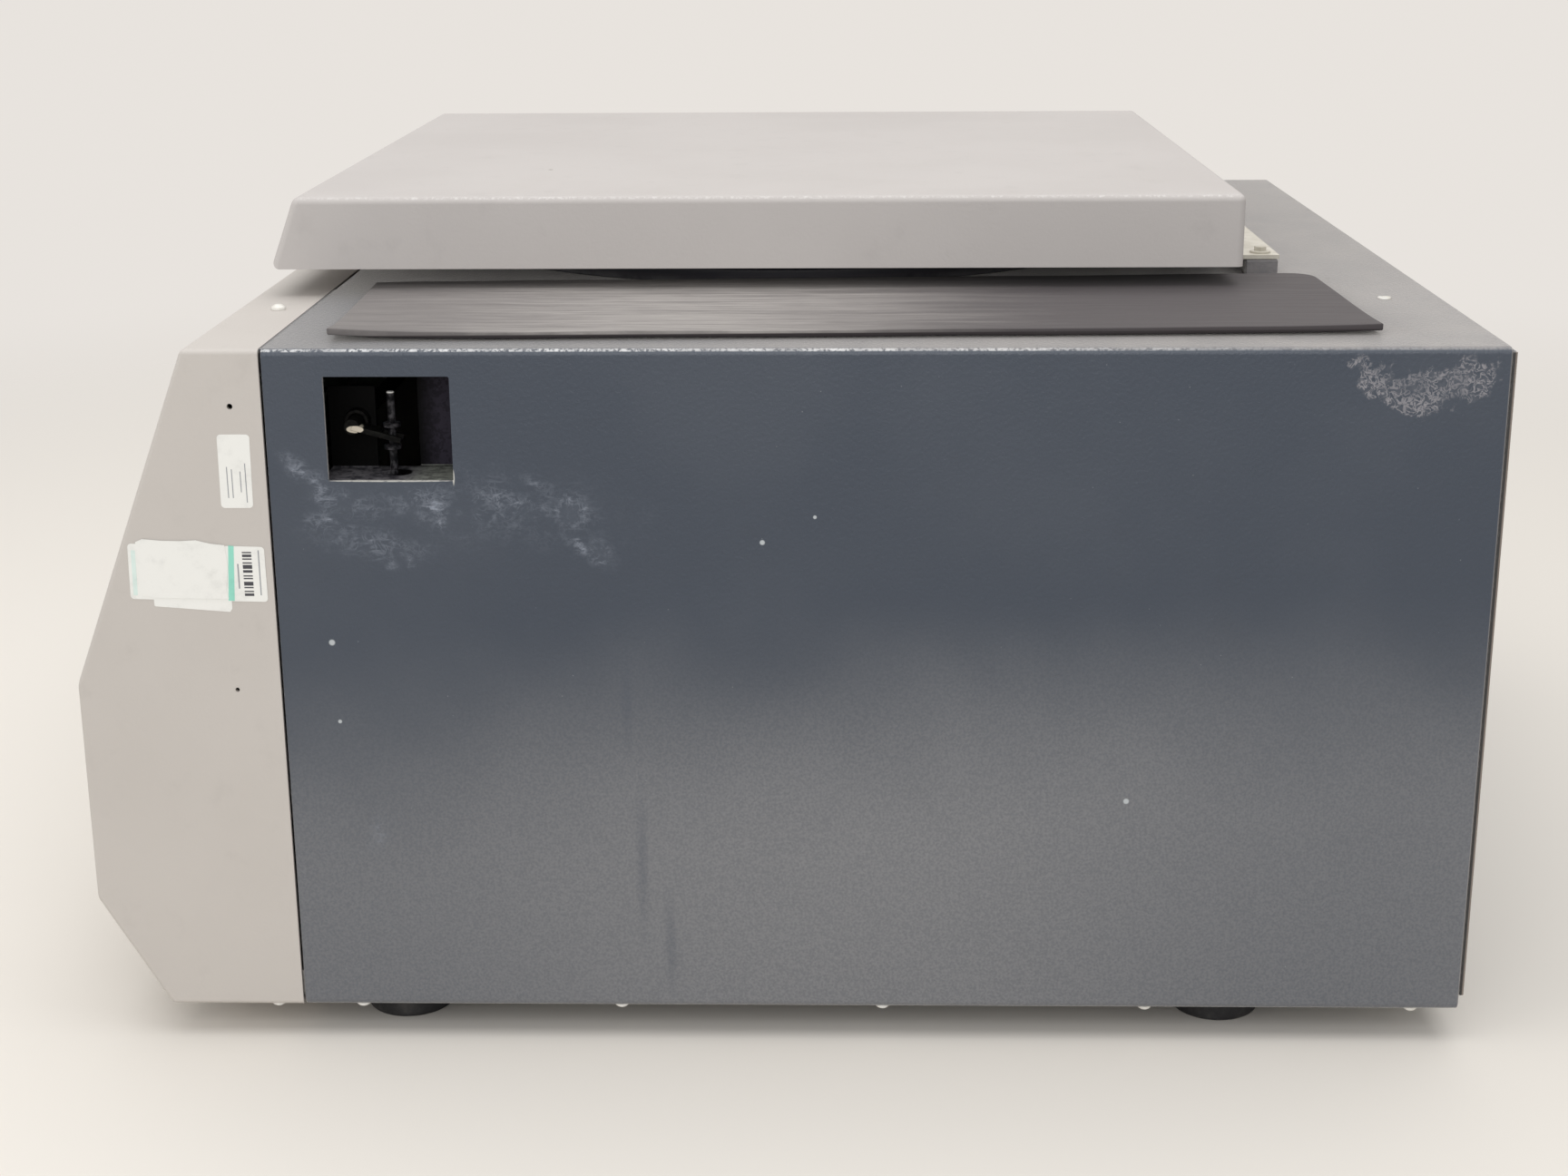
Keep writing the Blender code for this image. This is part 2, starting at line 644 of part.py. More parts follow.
def make_buckets(centre):
    """Four cups on trunnions. Each one hangs at rest and swings outwards as the rotor turns."""
    low, high = -BUCKET_BELOW, BUCKET_ABOVE
    floor = low + BUCKET_FLOOR
    cup = [(0, low), (BUCKET_RADIUS - BUCKET_HEEL, low), (BUCKET_RADIUS, low + BUCKET_HEEL)]
    cup += [(BUCKET_RADIUS, high)]
    cup += [(BUCKET_BORE, high), (BUCKET_BORE, floor + BUCKET_HEEL)]
    cup += [(BUCKET_BORE - BUCKET_HEEL, floor), (0, floor)]
    first = make("bucket_1", turned(cup, Matrix.Identity(4), 20), "aluminium")
    pins = bmesh.new()
    for side in (-1, 1):
        along = place_at(0, side * (BUCKET_RADIUS + 0.004), 0, "Y")
        rod(TRUNNION_RADIUS, -0.006, 0.006, along, 10, pins)
    join(first, "trunnions", pins)
    settle(first)
    for quarter in range(BUCKET_COUNT):
        bucket = first
        if quarter:
            bucket = bpy.data.objects.new(f"bucket_{quarter + 1}", first.data)
            bpy.context.scene.collection.objects.link(bucket)
        angle = quarter * math.pi / 2
        bucket.rotation_euler.z = angle
        bucket.location = centre + PIVOT_RADIUS * Vector((math.cos(angle), math.sin(angle), 0))


def lid_outline():
    front, top_front = LID_FRONT, LID_TOP_FRONT
    return [(LID_REAR, LID_LOW), (LID_REAR, LID_TOP), (top_front, LID_TOP), (front, LID_LOW)]


def make_lid():
    hinge = Vector((CHAMBER_X, back(HINGE_BACK), over(HINGE_HEIGHT)))
    outline = [Vector(point) for point in lid_outline()]
    tall = [outline[0] - Vector((0, THROUGH)), outline[1], outline[2]]
    lean = (outline[3] - outline[2]).normalized()
    tall.append(outline[3] + lean * THROUGH)
    cover = make("lid_cover", prism(in_frame(tall), "X", LID_LEFT, LID_RIGHT), "lid_paint")
    soften(cover, BEND)
    inner = set_in(tall, SHEET)
    cut(cover, "inside", prism(in_frame(inner), "X", LID_LEFT + SHEET, LID_RIGHT - SHEET))
    cut(cover, "open_side", block((-1, -1, 0), (1, 1, over(LID_LOW))))
    edge = SHEET + 0.0006
    front = LID_FRONT + 0.006
    liner_low = (LID_LEFT + edge, back(front), over(LINER_LOW))
    liner_high = (LID_RIGHT - edge, back(LID_REAR - edge), over(LINER_LOW + SHEET))
    liner = make("lid_liner", block(liner_low, liner_high), "light_paint")
    low, high = GASKET_LOW, LINER_LOW - GAP
    gasket = [(GASKET_INNER, high), (GASKET_INNER + 0.002, low)]
    gasket += [(GASKET_OUTER - 0.002, low), (GASKET_OUTER, high)]
    gasket = make("lid_gasket", turned(gasket, CHAMBER, 36), "black_rubber")
    striker = make_striker()
    for piece in (cover, liner, gasket, striker, *make_hinge()):
        put_origin(piece, hinge)


def make_striker():
    """The plate under the lid that the latch hook holds by a notch in its rear edge."""
    top = LINER_LOW - GAP
    outline = [(STRIKER_FRONT, 0.278), (STRIKER_REAR - 0.002, 0.278), (STRIKER_REAR, 0.281)]
    outline += [(STRIKER_REAR, 0.2845)]
    outline += [(STRIKER_REAR - 0.004, 0.2845), (STRIKER_REAR - 0.004, 0.2925), (STRIKER_REAR, 0.2925)]
    outline += [(STRIKER_REAR, top), (STRIKER_FRONT, top)]
    thick = 0.002
    shape = prism(in_frame(outline), "X", CHAMBER_X - thick, CHAMBER_X + thick)
    striker = make("lid_striker", shape, "zinc")
    foot_low = (CHAMBER_X - 0.014, back(0.014), over(top - 0.002))
    foot_high = (CHAMBER_X + 0.014, back(0.030), over(top))
    join(striker, "foot", block(foot_low, foot_high))
    return striker


def make_hinge():
    """A long hinge behind the lid. It returns the pieces that move with the lid."""
    rail_low = (HINGE_LEFT, back(RAIL_FRONT), over(COVER_HEIGHT + GAP))
    rail_high = (HINGE_RIGHT, back(RAIL_REAR), over(RAIL_TOP))
    rail = make("hinge_rail", block(rail_low, rail_high), "dark_paint")
    soften(rail, 0.0005, 1)
    fixed_low, fixed_high = RAIL_TOP + GAP, RAIL_TOP + GAP + 0.002
    lid_high = LID_LOW - GAP
    lid_low = lid_high - 0.002
    clear = KNUCKLE_RADIUS + 0.001
    fixed = leaf("hinge_fixed_leaf", (HINGE_BACK + clear, LEAF_REAR), (fixed_low, fixed_high), 0)
    moving = leaf("hinge_lid_leaf", (LEAF_FRONT, HINGE_BACK - clear), (lid_low, lid_high), 1)
    axis = place_at(0, back(HINGE_BACK), over(HINGE_HEIGHT), "X")
    pin = rod(PIN_RADIUS, HINGE_LEFT + 0.001, HINGE_RIGHT - 0.001, axis, 8)
    pin = make("hinge_pin", pin, "steel")
    return moving, pin


def leaf(name, depth, height, first):
    """One leaf of the hinge: a plate, with every other knuckle starting at the first."""
    axis = place_at(0, back(HINGE_BACK), over(HINGE_HEIGHT), "X")
    plate_low = (HINGE_LEFT, back(depth[0]), over(height[0]))
    plate_high = (HINGE_RIGHT, back(depth[1]), over(height[1]))
    thing = make(name, block(plate_low, plate_high), "ivory")
    pitch = (HINGE_RIGHT - HINGE_LEFT) / KNUCKLES
    tabs, barrels = bmesh.new(), bmesh.new()
    reach = sorted((HINGE_BACK, min(depth, key=lambda edge: abs(edge - HINGE_BACK))))
    grip = 0.002
    for index in range(first, KNUCKLES, 2):
        low = HINGE_LEFT + index * pitch + GAP
        high = low + pitch - 2 * GAP
        rod(KNUCKLE_RADIUS, low, high, axis, 10, barrels)
        tab_low = (low + 0.0001, back(reach[0] - grip * first), over(height[0]))
        tab_high = (high - 0.0001, back(reach[1] + grip * (1 - first)), over(height[1]))
        block(tab_low, tab_high, tabs)
    join(thing, "tabs", tabs)
    join(thing, "barrels", barrels)
    bore = rod(PIN_RADIUS + RUNNING, HINGE_LEFT - THROUGH, HINGE_RIGHT + THROUGH, axis, 8)
    cut(thing, "pin_bore", bore)
    return thing


def make_latch():
    """The hook, its cross shaft and the rod that turns it. All of them are made latched."""
    shaft_place = place_at(0, back(LATCH_BACK), over(LATCH_HEIGHT), "X")
    shaft_low = CHAMBER_X - 0.022
    shaft = rod(LATCH_SHAFT_RADIUS, shaft_low, LATCH_SHAFT_END, shaft_place, 14)
    shaft = make("latch_shaft", shaft, "ivory")
    join(shaft, "lever", lever_shape())
    hook = make("latch_hook", hook_shape(), "zinc")
    bore_low, bore_high = CHAMBER_X - THROUGH, CHAMBER_X + THROUGH
    cut(hook, "shaft_bore", rod(LATCH_SHAFT_RADIUS + GAP, bore_low, bore_high, shaft_place, 14))
    for piece in (shaft, hook):
        settle(piece)
        put_origin(piece, LATCH_POINT)
        piece.rotation_euler.x = -LATCH_TURN
    make_latch_housing(shaft_place)
    make_release(shaft_place)


def lever_shape():
    """The forked lever on the right-hand end of the shaft."""
    half_wide, half_thick, slot = 0.0045, 0.0012, 0.0028
    y, z = back(LATCH_BACK), over(LATCH_HEIGHT)
    tip = back(ROD_BACK) + 0.005
    root = back(ROD_BACK) - 0.004
    outline = [(ROD_X - half_wide, y), (ROD_X - half_wide, tip), (ROD_X - slot, tip), (ROD_X - slot, root)]
    outline += [(ROD_X + slot, root), (ROD_X + slot, tip), (ROD_X + half_wide, tip), (ROD_X + half_wide, y)]
    return prism(outline, "Z", z - half_thick, z + half_thick)


def hook_shape():
    """A disc on the shaft, an arm up behind the striker, and a claw into its notch."""
    b, h = LATCH_BACK, LATCH_HEIGHT
    outline = [(b - 0.0055, h), (b - 0.004, h + 0.019), (STRIKER_REAR - 0.0028, h + 0.0222)]
    outline += [(STRIKER_REAR - 0.0028, h + 0.0262), (b + 0.001, h + 0.0285)]
    outline += [(b + 0.0055, h), (b, h - 0.0065)]
    return prism(in_frame(outline), "X", CHAMBER_X - 0.003, CHAMBER_X + 0.003)


def make_latch_housing(shaft_place):
    low = (CHAMBER_X - 0.016, back(0.013), over(0.240))
    high = (CHAMBER_X + 0.016, back(0.0415), over(COVER_HEIGHT - SHEET - GAP))
    housing = make("latch_housing", block(low, high), "cast_grey")
    channel_low = (CHAMBER_X - 0.0055, back(-0.01), over(0.246))
    channel_high = (CHAMBER_X + 0.0055, back(0.06), over(0.32))
    cut(housing, "channel", block(channel_low, channel_high))
    bore = rod(LATCH_SHAFT_RADIUS + RUNNING, CHAMBER_X - 0.03, CHAMBER_X + 0.03, shaft_place, 14)
    cut(housing, "shaft_bore", bore)


def make_release(shaft_place):
    """What shows through the window: a ledge with an ear, a bush, and the rod through the ledge."""
    ledge_low = (ROD_X - 0.012, back(WINDOW_FRONT - 0.004), over(WINDOW_LOW - 0.0025))
    ledge_high = (HALF_WIDTH - SHEET - GAP, back(WINDOW_REAR + 0.003), over(WINDOW_LOW - 0.0005))
    ledge = make("release_bracket", block(ledge_low, ledge_high), "dark_paint")
    ear_low = (ROD_X - 0.012, back(WINDOW_FRONT - 0.004), over(WINDOW_LOW - 0.0015))
    ear_high = (ROD_X - 0.010, back(LATCH_BACK + 0.008), over(0.279))
    join(ledge, "ear", block(ear_low, ear_high))
    wall_low = (ROD_X - 0.012, back(WINDOW_REAR + 0.001), over(WINDOW_LOW - 0.0015))
    wall_high = (HALF_WIDTH - SHEET - GAP, back(WINDOW_REAR + 0.003), over(0.294))
    join(ledge, "end_wall", block(wall_low, wall_high))
    rod_place = place_at(ROD_X, back(ROD_BACK), FOOT_HEIGHT)
    cut(ledge, "rod_hole", rod(0.005, 0.2, 0.26, rod_place, 16))
    bush_radius = LATCH_SHAFT_RADIUS + 0.0018
    cut(ledge, "bush_hole", rod(bush_radius + GAP, ROD_X - 0.02, ROD_X - 0.006, shaft_place, 14))
    bush = ring(LATCH_SHAFT_RADIUS + RUNNING, bush_radius, ROD_X - 0.0135, ROD_X - 0.0065, shaft_place, 14)
    make("shaft_bush", bush, "ivory")
    solenoid_top = 0.234
    lever_drop = LEVER_ARM * math.sin(LATCH_TURN)
    fork = LATCH_HEIGHT - lever_drop
    collar = ROD_RADIUS + 0.0022
    profile = [(0, 0.188), (ROD_RADIUS, 0.188), (ROD_RADIUS, fork - 0.0055), (collar, fork - 0.0055)]
    profile += [(collar, fork - 0.0035), (ROD_RADIUS, fork - 0.0035), (ROD_RADIUS, fork + 0.0040)]
    profile += [(collar, fork + 0.0040), (collar, fork + 0.0060), (ROD_RADIUS, fork + 0.0060)]
    profile += [(ROD_RADIUS, ROD_TOP), (0, ROD_TOP)]
    release = make("release_rod", turned(profile, rod_place, 10), "zinc")
    put_origin(release, (ROD_X, back(ROD_BACK), over(ROD_TOP)))
    solenoid = rod(0.0125, 0.182, solenoid_top, rod_place, 16)
    solenoid = make("latch_solenoid", solenoid, "black_plastic")
    cut(solenoid, "plunger_bore", rod(ROD_RADIUS + RUNNING, 0.1865, 0.26, rod_place, 10))


def make_control_panel():
    fascia = on_slope((FASCIA_WIDTH, FASCIA_HEIGHT), GAP, FASCIA_SHEET + GAP)
    fascia = make("control_fascia", fascia, "fascia_film")
    holes = bmesh.new()
    for x, up, _ in BUTTONS.values():
        rod(BUTTON_RADIUS + RUNNING, -0.01, 0.01, slope_frame(x, up), 16, holes)
    window = (DISPLAY_WIDTH + 2 * GAP, DISPLAY_HEIGHT + 2 * GAP)
    on_slope(window, -0.01, 0.01, DISPLAY_X, DISPLAY_UP, holes)
    cut(fascia, "holes", holes)
    glass = on_slope((DISPLAY_WIDTH, DISPLAY_HEIGHT), -0.001, FASCIA_SHEET, DISPLAY_X, DISPLAY_UP)
    make("display_window", glass, "smoked_window")
    for name, (x, up, finish) in BUTTONS.items():
        make_button(name, x, up, finish)
    board = on_slope((0.320, 0.080), -0.0130, -0.0114)
    board = make("control_board", board, "circuit_board")
    parts = bmesh.new()
    on_slope((0.112, 0.036), -0.0125, -0.0030, DISPLAY_X, DISPLAY_UP, parts)
    on_slope((0.050, 0.020), -0.0180, -0.0120, 0.060, 0.018, parts)
    on_slope((0.030, 0.030), -0.0200, -0.0120, -0.020, -0.018, parts)
    join(board, "components", parts)


def make_button(name, x, up, finish):
    """A push button with a collar that stops it behind the fascia."""
    r = BUTTON_RADIUS
    collar = -0.0004
    profile = [(0, -0.0088), (0.003, -0.0088), (0.003, collar - 0.0015), (r + 0.0015, collar - 0.0015)]
    profile += [(r + 0.0015, collar), (r, collar), (r, 0.0046), (r - 0.0008, 0.0054), (0, 0.0050)]
    button = make(name, turned(profile, Matrix.Identity(4), 16), finish)
    button.matrix_world = slope_frame(x, up)


def make_mains():
    """The appliance inlet and the rocker switch in the rear wall."""
    y_out = back(PANEL_BACK)
    wide, tall = INLET_SIZE[0] / 2, INLET_SIZE[1] / 2
    inlet_z = over(INLET_HEIGHT)
    inlet_low = (INLET_X - wide, y_out - 0.024, inlet_z - tall)
    inlet_high = (INLET_X + wide, y_out, inlet_z + tall)
    inlet = make("mains_inlet", block(inlet_low, inlet_high), "black_plastic")
    socket = [(-0.0115, -0.0075), (0.0115, -0.0075), (0.0115, 0.004)]
    socket += [(0.0075, 0.008), (-0.0075, 0.008), (-0.0115, 0.004)]
    socket = [(INLET_X + x, inlet_z + z) for x, z in socket]
    cut(inlet, "socket", prism(socket, "Y", y_out - 0.018, y_out + THROUGH))
    blades = bmesh.new()
    for x, z in ((-0.007, -0.002), (0.007, -0.002), (0.0, 0.003)):
        low = (INLET_X + x - 0.001, y_out - 0.020, inlet_z + z - 0.002)
        high = (INLET_X + x + 0.001, y_out - 0.004, inlet_z + z + 0.002)
        block(low, high, blades)
    join(inlet, "blades", blades)
    wide, tall = SWITCH_SIZE[0] / 2, SWITCH_SIZE[1] / 2
    z = over(SWITCH_HEIGHT)
    frame = block((SWITCH_X - wide, y_out - 0.020, z - tall), (SWITCH_X + wide, y_out, z + tall))
    frame = make("switch_frame", frame, "black_plastic")
    inner_wide, inner_tall = wide - 0.0015, tall - 0.0025
    pocket_low = (SWITCH_X - inner_wide, y_out - 0.016, z - inner_tall)
    pocket_high = (SWITCH_X + inner_wide, y_out + THROUGH, z + inner_tall)
    cut(frame, "pocket", block(pocket_low, pocket_high))
    make_rocker(y_out, z, inner_wide - 0.0008, inner_tall - 0.0010)


def make_rocker(y_out, z, half_wide, half_tall):
    """A rocker that tips about its middle. Its upper half is pressed in at rest: switched off."""
    pivot_y = y_out - 0.0085
    outline = [(0.0040, -half_tall), (0.0055, -half_tall + 0.001), (0.0025, 0), (0.0055, half_tall - 0.001)]
    outline += [(0.0040, half_tall), (-0.0050, 0.004), (-0.0050, -0.004)]
    place = Matrix.Translation((0, pivot_y, z))
    shape = prism(outline, "X", SWITCH_X - half_wide, SWITCH_X + half_wide, place=place)
    rocker = make("mains_rocker", shape, "black_plastic")
    put_origin(rocker, (SWITCH_X, pivot_y, z))
    rocker.rotation_euler.x = math.radians(ROCKER_TILT)


def make_fan():
    """The condenser fan behind the slots in the rear wall."""
    z = over(FAN_HEIGHT)
    half = FAN_SIDE / 2
    far = back(COVER_DEPTH) - 0.001
    near = far - FAN_DEPTH
    middle = (near + far) / 2
    frame = block((FAN_X - half, near, z - half), (FAN_X + half, far, z + half))
    frame = make("fan_frame", frame, "black_plastic")
    axis = place_at(FAN_X, middle, z, "Y")
    cut(frame, "bore", rod(FAN_BORE, -THROUGH, THROUGH, axis, 28))
    struts = bmesh.new()
    for angle in (0, math.pi / 2):
        bar = axis @ Matrix.Rotation(angle + math.pi / 4, 4, "Z")
        inset = 0.0001 if angle else 0.0
        block((-FAN_BORE - 0.004, -0.0025, -0.012 + inset), (-0.012, 0.0025, -0.008 - inset), struts, bar)
        block((0.012, -0.0025, -0.012 + inset), (FAN_BORE + 0.004, 0.0025, -0.008 - inset), struts, bar)
    join(frame, "struts", struts)
    join(frame, "motor_seat", rod(0.020, -0.0123, -0.0075, axis, 16))
    rotor = make("fan_rotor", rod(0.019, -0.0065, 0.011, axis, 20), "black_plastic")
    blades = bmesh.new()
    for index in range(FAN_BLADES):
        turn = axis @ Matrix.Rotation(2 * math.pi * index / FAN_BLADES, 4, "Z")
        tilt = turn @ Matrix.Rotation(math.radians(32), 4, "X")
        block((0.016, -0.0115, -0.001), (FAN_BORE - 0.003, 0.0115, 0.001), blades, tilt)
    join(rotor, "blades", blades)
    put_origin(rotor, (FAN_X, middle, z))


def make_cooling():
    floor = 2 * SHEET + 2 * GAP
    place = place_at(COMPRESSOR_X, back(COMPRESSOR_BACK), FOOT_HEIGHT)
    r, top = COMPRESSOR_RADIUS, COMPRESSOR_TOP
    can = [(0, floor), (r - 0.004, floor), (r - 0.004, floor + 0.012), (r, floor + 0.022), (r, top - 0.030)]
    can += [(r * 0.86, top - 0.012), (r * 0.5, top - 0.002), (0, top)]
    make("compressor", turned(can, place, 20), "black_enamel")
    wide = 0.066
    low = (FAN_X - wide, back(CONDENSER_BACK), over(floor))
    high = (FAN_X + wide, back(CONDENSER_BACK + CONDENSER_DEPTH), over(FAN_HEIGHT + 0.062))
    condenser = make("condenser", block(low, high), "aluminium")
    grooves = bmesh.new()
    pitch = (2 * wide - 0.016) / CONDENSER_FINS
    for index in range(CONDENSER_FINS):
        x = low[0] + 0.008 + pitch * (index + 0.5)
        for front, rear in ((-0.01, 0.010), (CONDENSER_DEPTH - 0.010, CONDENSER_DEPTH + 0.01)):
            groove_low = (x - 0.0025, low[1] + front, low[2] + 0.012)
            block(groove_low, (x + 0.0025, low[1] + rear, high[2] - 0.012), grooves)
    cut(condenser, "fin_gaps", grooves)


def make_drive_board():
    """The motor's drive, on edge in the left-hand bay."""
    x = -0.262
    low = (x, back(0.110), over(0.012))
    high = (x + BOARD_SHEET, back(0.300), over(0.190))
    board = make("drive_board", block(low, high), "circuit_board")
    parts = bmesh.new()
    for distance, height, size, reach in BOARD_PARTS:
        centre_y, centre_z, half = back(distance), over(height), size / 2
        part_low = (x + BOARD_SHEET / 2, centre_y - half, centre_z - half)
        part_high = (x + BOARD_SHEET + reach, centre_y + half, centre_z + half)
        block(part_low, part_high, parts)
    join(board, "components", parts)


def main():
    clear_scene()
    make_base_pan()
    make_body_cover()
    make_front_shell()
    make_rear_panel()
    make_feet()
    make_side_mat()
    make_chamber()
    make_motor()
    make_rotor()
    make_lid()
    make_latch()
    make_control_panel()
    make_mains()
    make_fan()
    make_cooling()
    make_drive_board()


main()
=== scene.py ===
"""The look of a refrigerated benchtop centrifuge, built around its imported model.

Units are metres. +X is the machine's right side, +Y its rear and +Z up. Distances "behind the
seam" run to the rear from the joint between the front shell and the dark cover, and heights
"over the base" start at the lower edge of the cover.
"""

import json
import math

import bmesh
import bpy
from mathutils import Matrix, Vector, noise


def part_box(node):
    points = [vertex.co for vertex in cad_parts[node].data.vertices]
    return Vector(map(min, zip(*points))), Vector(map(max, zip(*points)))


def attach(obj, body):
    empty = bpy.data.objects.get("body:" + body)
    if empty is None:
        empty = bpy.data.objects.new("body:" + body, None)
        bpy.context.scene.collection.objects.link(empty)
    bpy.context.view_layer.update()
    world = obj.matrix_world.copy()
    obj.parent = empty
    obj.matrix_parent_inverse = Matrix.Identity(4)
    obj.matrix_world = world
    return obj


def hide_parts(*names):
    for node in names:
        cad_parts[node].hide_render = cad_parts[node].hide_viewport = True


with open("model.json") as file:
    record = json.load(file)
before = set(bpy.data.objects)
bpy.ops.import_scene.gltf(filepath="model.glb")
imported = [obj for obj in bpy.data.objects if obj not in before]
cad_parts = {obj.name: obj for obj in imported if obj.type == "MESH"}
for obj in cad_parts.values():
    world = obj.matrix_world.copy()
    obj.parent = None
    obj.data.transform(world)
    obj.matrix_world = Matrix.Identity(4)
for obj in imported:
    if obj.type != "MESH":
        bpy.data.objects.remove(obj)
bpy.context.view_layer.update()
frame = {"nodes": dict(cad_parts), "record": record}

# Sheet metal
SHEET = 0.002
BEND = 0.003
GAP = 0.0003
THROUGH = 0.02
CRISP_ANGLE = math.radians(32)

# Body
HALF_WIDTH = 0.2892
FOOT_HEIGHT = 0.016
COVER_HEIGHT = 0.300
COVER_DEPTH = 0.5174
COVER_LIP = 0.018
PANEL_BACK = 0.5195
SHELL_REACH = 0.0904
SEAM = 0.001
SEAM_FLOOR_START = 0.1345
SEAM_Y = (SHELL_REACH - PANEL_BACK) / 2
SLOPE_TOP = (-0.0336, 0.300)
SLOPE_FOOT = (-0.090, 0.1526)
SHELL_PROFILE = [(0.0, 0.300), SLOPE_TOP, SLOPE_FOOT, (-0.0904, 0.0519), (-0.0608, 0.0), (0.0, 0.0)]
CHEEK_HOLES = [(-0.0142, 0.2759, 0.00125), (-0.0200, 0.1506, 0.0010)]
FOOT_RADIUS = 0.021
FOOT_ROWS = {"front": 0.041, "rear": 0.415}
FOOT_SIDES = {"left": -0.250, "right": 0.250}

# Release window: front, rear, low, high
WINDOW = (0.0254, 0.0784, 0.2438, 0.2885)
ROD_PLACE = (0.272, 0.0503)
ROD_TOP = 0.2789
ROD_COLLARS = (0.2539, 0.2635)

# Chamber, seen from above, and the heights between which the deck is cut
CHAMBER_X = -0.0514
CHAMBER_BACK = 0.214
BOWL_RADIUS = 0.157
DECK_HOLE = 0.159
DECK_CUT = (0.28, 0.32)
STRIKER_SLOT = (0.005, 0.012, 0.031)
BUCKET_REACH = 0.068
BUCKET_HEIGHT = 0.232

# Lid
LID_LEFT = -0.2628
LID_RIGHT = 0.160
LID_FRONT = -0.0250
LID_TOP_FRONT = -0.0124
LID_REAR = 0.4278
LID_LOW = 0.3132
LID_TOP = 0.3467
LID_BEND = 0.0035
LID_CORNER = 0.0032

# Mat, as its four corners: (across, behind the seam)
MAT_CORNERS = [(0.2729, 0.0249), (0.2610, 0.4703), (0.1190, 0.4670), (0.1390, 0.0205)]
MAT_SIZE = (0.4465, 0.142)
MAT_THICKNESS = 0.003
MAT_STEPS = (150, 48)
MAT_CORNER = 0.012
MAT_CURLS = [(0.0, 0.16, 0.0022), (1.0, 0.10, 0.0010)]

# Control panel on the sloping face
FASCIA = (0.360, 0.104)
FASCIA_TOP = 0.0028
DISPLAY = (-0.090, 0.016, 0.110, 0.034)
PRINT = 0.00006
BUTTONS = {"start_button": 0.130, "stop_button": 0.085, "lid_button": 0.040,
           "up_button": -0.068, "down_button": -0.112}
BUTTON_ROW = -0.028
BUTTON_RADIUS = 0.0075

# Screws, bolts and stickers
HEAD_RADIUS = 0.00325
EDGE_SCREWS = (0.0254, 0.1428, 0.2605, 0.3783, 0.4972)
LEAF_TOP = 0.3103
HINGE_BOLTS = (-0.198, -0.1, -0.002, 0.0955)
RIM_SCREWS = [(x, z) for x in (-0.276, -0.092, 0.092, 0.276) for z in (0.016, 0.289)]
RIM_SCREWS += [(-0.276, 0.152), (0.276, 0.152)]
PAPER = 0.00008

# Camera
CAMERA_PLACE = (1.2403, 0.02615, 0.4978)
CAMERA_LENS = 53.56
CAMERA_YAW = math.radians(-1.405)
CAMERA_PITCH = math.radians(16.674)
CAMERA_ROLL = math.radians(-0.37)

FLOOR_COLOUR = (0.775, 0.74, 0.69)
BACKDROP_COLOUR = (0.807, 0.770, 0.730)

SLOT_OF = {part["node"]: part["material_slot"] for part in frame["record"]["subparts"]}
BODY_OF = {
    node: body for body, nodes in frame["record"]["behaviour"]["bodies"].items() for node in nodes
}


def back(distance):
    """The Y of a place that far behind the seam."""
    return SEAM_Y + distance


def over(height):
    """The Z of a place that far over the base."""
    return FOOT_HEIGHT + height


def at(across, distance, height):
    """The point across, behind the seam and over the base."""
    return (across, back(distance), over(height))


def in_frame(points):
    """Points given behind the seam and over the base, in the machine's Y and Z."""
    return [(back(distance), over(height)) for distance, height in points]


def place_at(x, y, z, axis="Z"):
    """The matrix that sets a turned shape down with its own axis along X, Y or Z."""
    turns = {"X": (math.pi / 2, "Y"), "Y": (-math.pi / 2, "X"), "Z": (0.0, "Z")}
    angle, about = turns[axis]
    return Matrix.Translation((x, y, z)) @ Matrix.Rotation(angle, 4, about)


def slope_frame(x=0.0, up=0.0):
    """A place on the sloping face: across, and up the slope from its middle."""
    top, bottom = Vector(SLOPE_TOP), Vector(SLOPE_FOOT)
    run = (top - bottom).normalized()
    middle = (top + bottom) / 2
    turn = Matrix.Rotation(math.atan2(run.y, run.x), 4, "X")
    return Matrix.Translation(at(x, *middle)) @ turn @ Matrix.Translation((0, up, 0))


CHAMBER = place_at(CHAMBER_X, back(CHAMBER_BACK), FOOT_HEIGHT)


class Pattern:
    """A node's output, such as a value that varies over a surface. It combines with others and numbers."""

    def __init__(self, nodes, socket):
        self.nodes, self.socket = nodes, socket

    def combined(self, operation, other=0.0):
        return self.nodes.add("ShaderNodeMath", self, other, operation=operation)

    def __add__(self, other):
        return self.combined("ADD", other)

    def __sub__(self, other):
        return self.combined("SUBTRACT", other)

    def __mul__(self, other):
        return self.combined("MULTIPLY", other)

    def __abs__(self):
        return self.combined("ABSOLUTE")

    def most(self, other):
        """The larger of the two."""
        return self.combined("MAXIMUM", other)

    def fit(self, low, high, first=0.0, last=1.0, smooth=True):
        """Maps low to high onto first to last, and holds it there outside."""
        ease = "SMOOTHSTEP" if smooth else "LINEAR"
        return self.nodes.add("ShaderNodeMapRange", self, low, high, first, last, interpolation_type=ease)


class Nodes:
    """A node tree under construction."""

    def __init__(self, tree):
        self.tree = tree

    def add(self, kind, *values, output=0, **settings):
        """A node's output. Its inputs come in order: patterns are linked, values set, None left."""
        made = self.tree.nodes.new(kind)
        for label, setting in settings.items():
            setattr(made, label, setting)
        for value, socket in zip(values, made.inputs):
            if isinstance(value, Pattern):
                self.tree.links.new(value.socket, socket)
            elif value is not None:
                socket.default_value = value
        return Pattern(self, made.outputs[output])


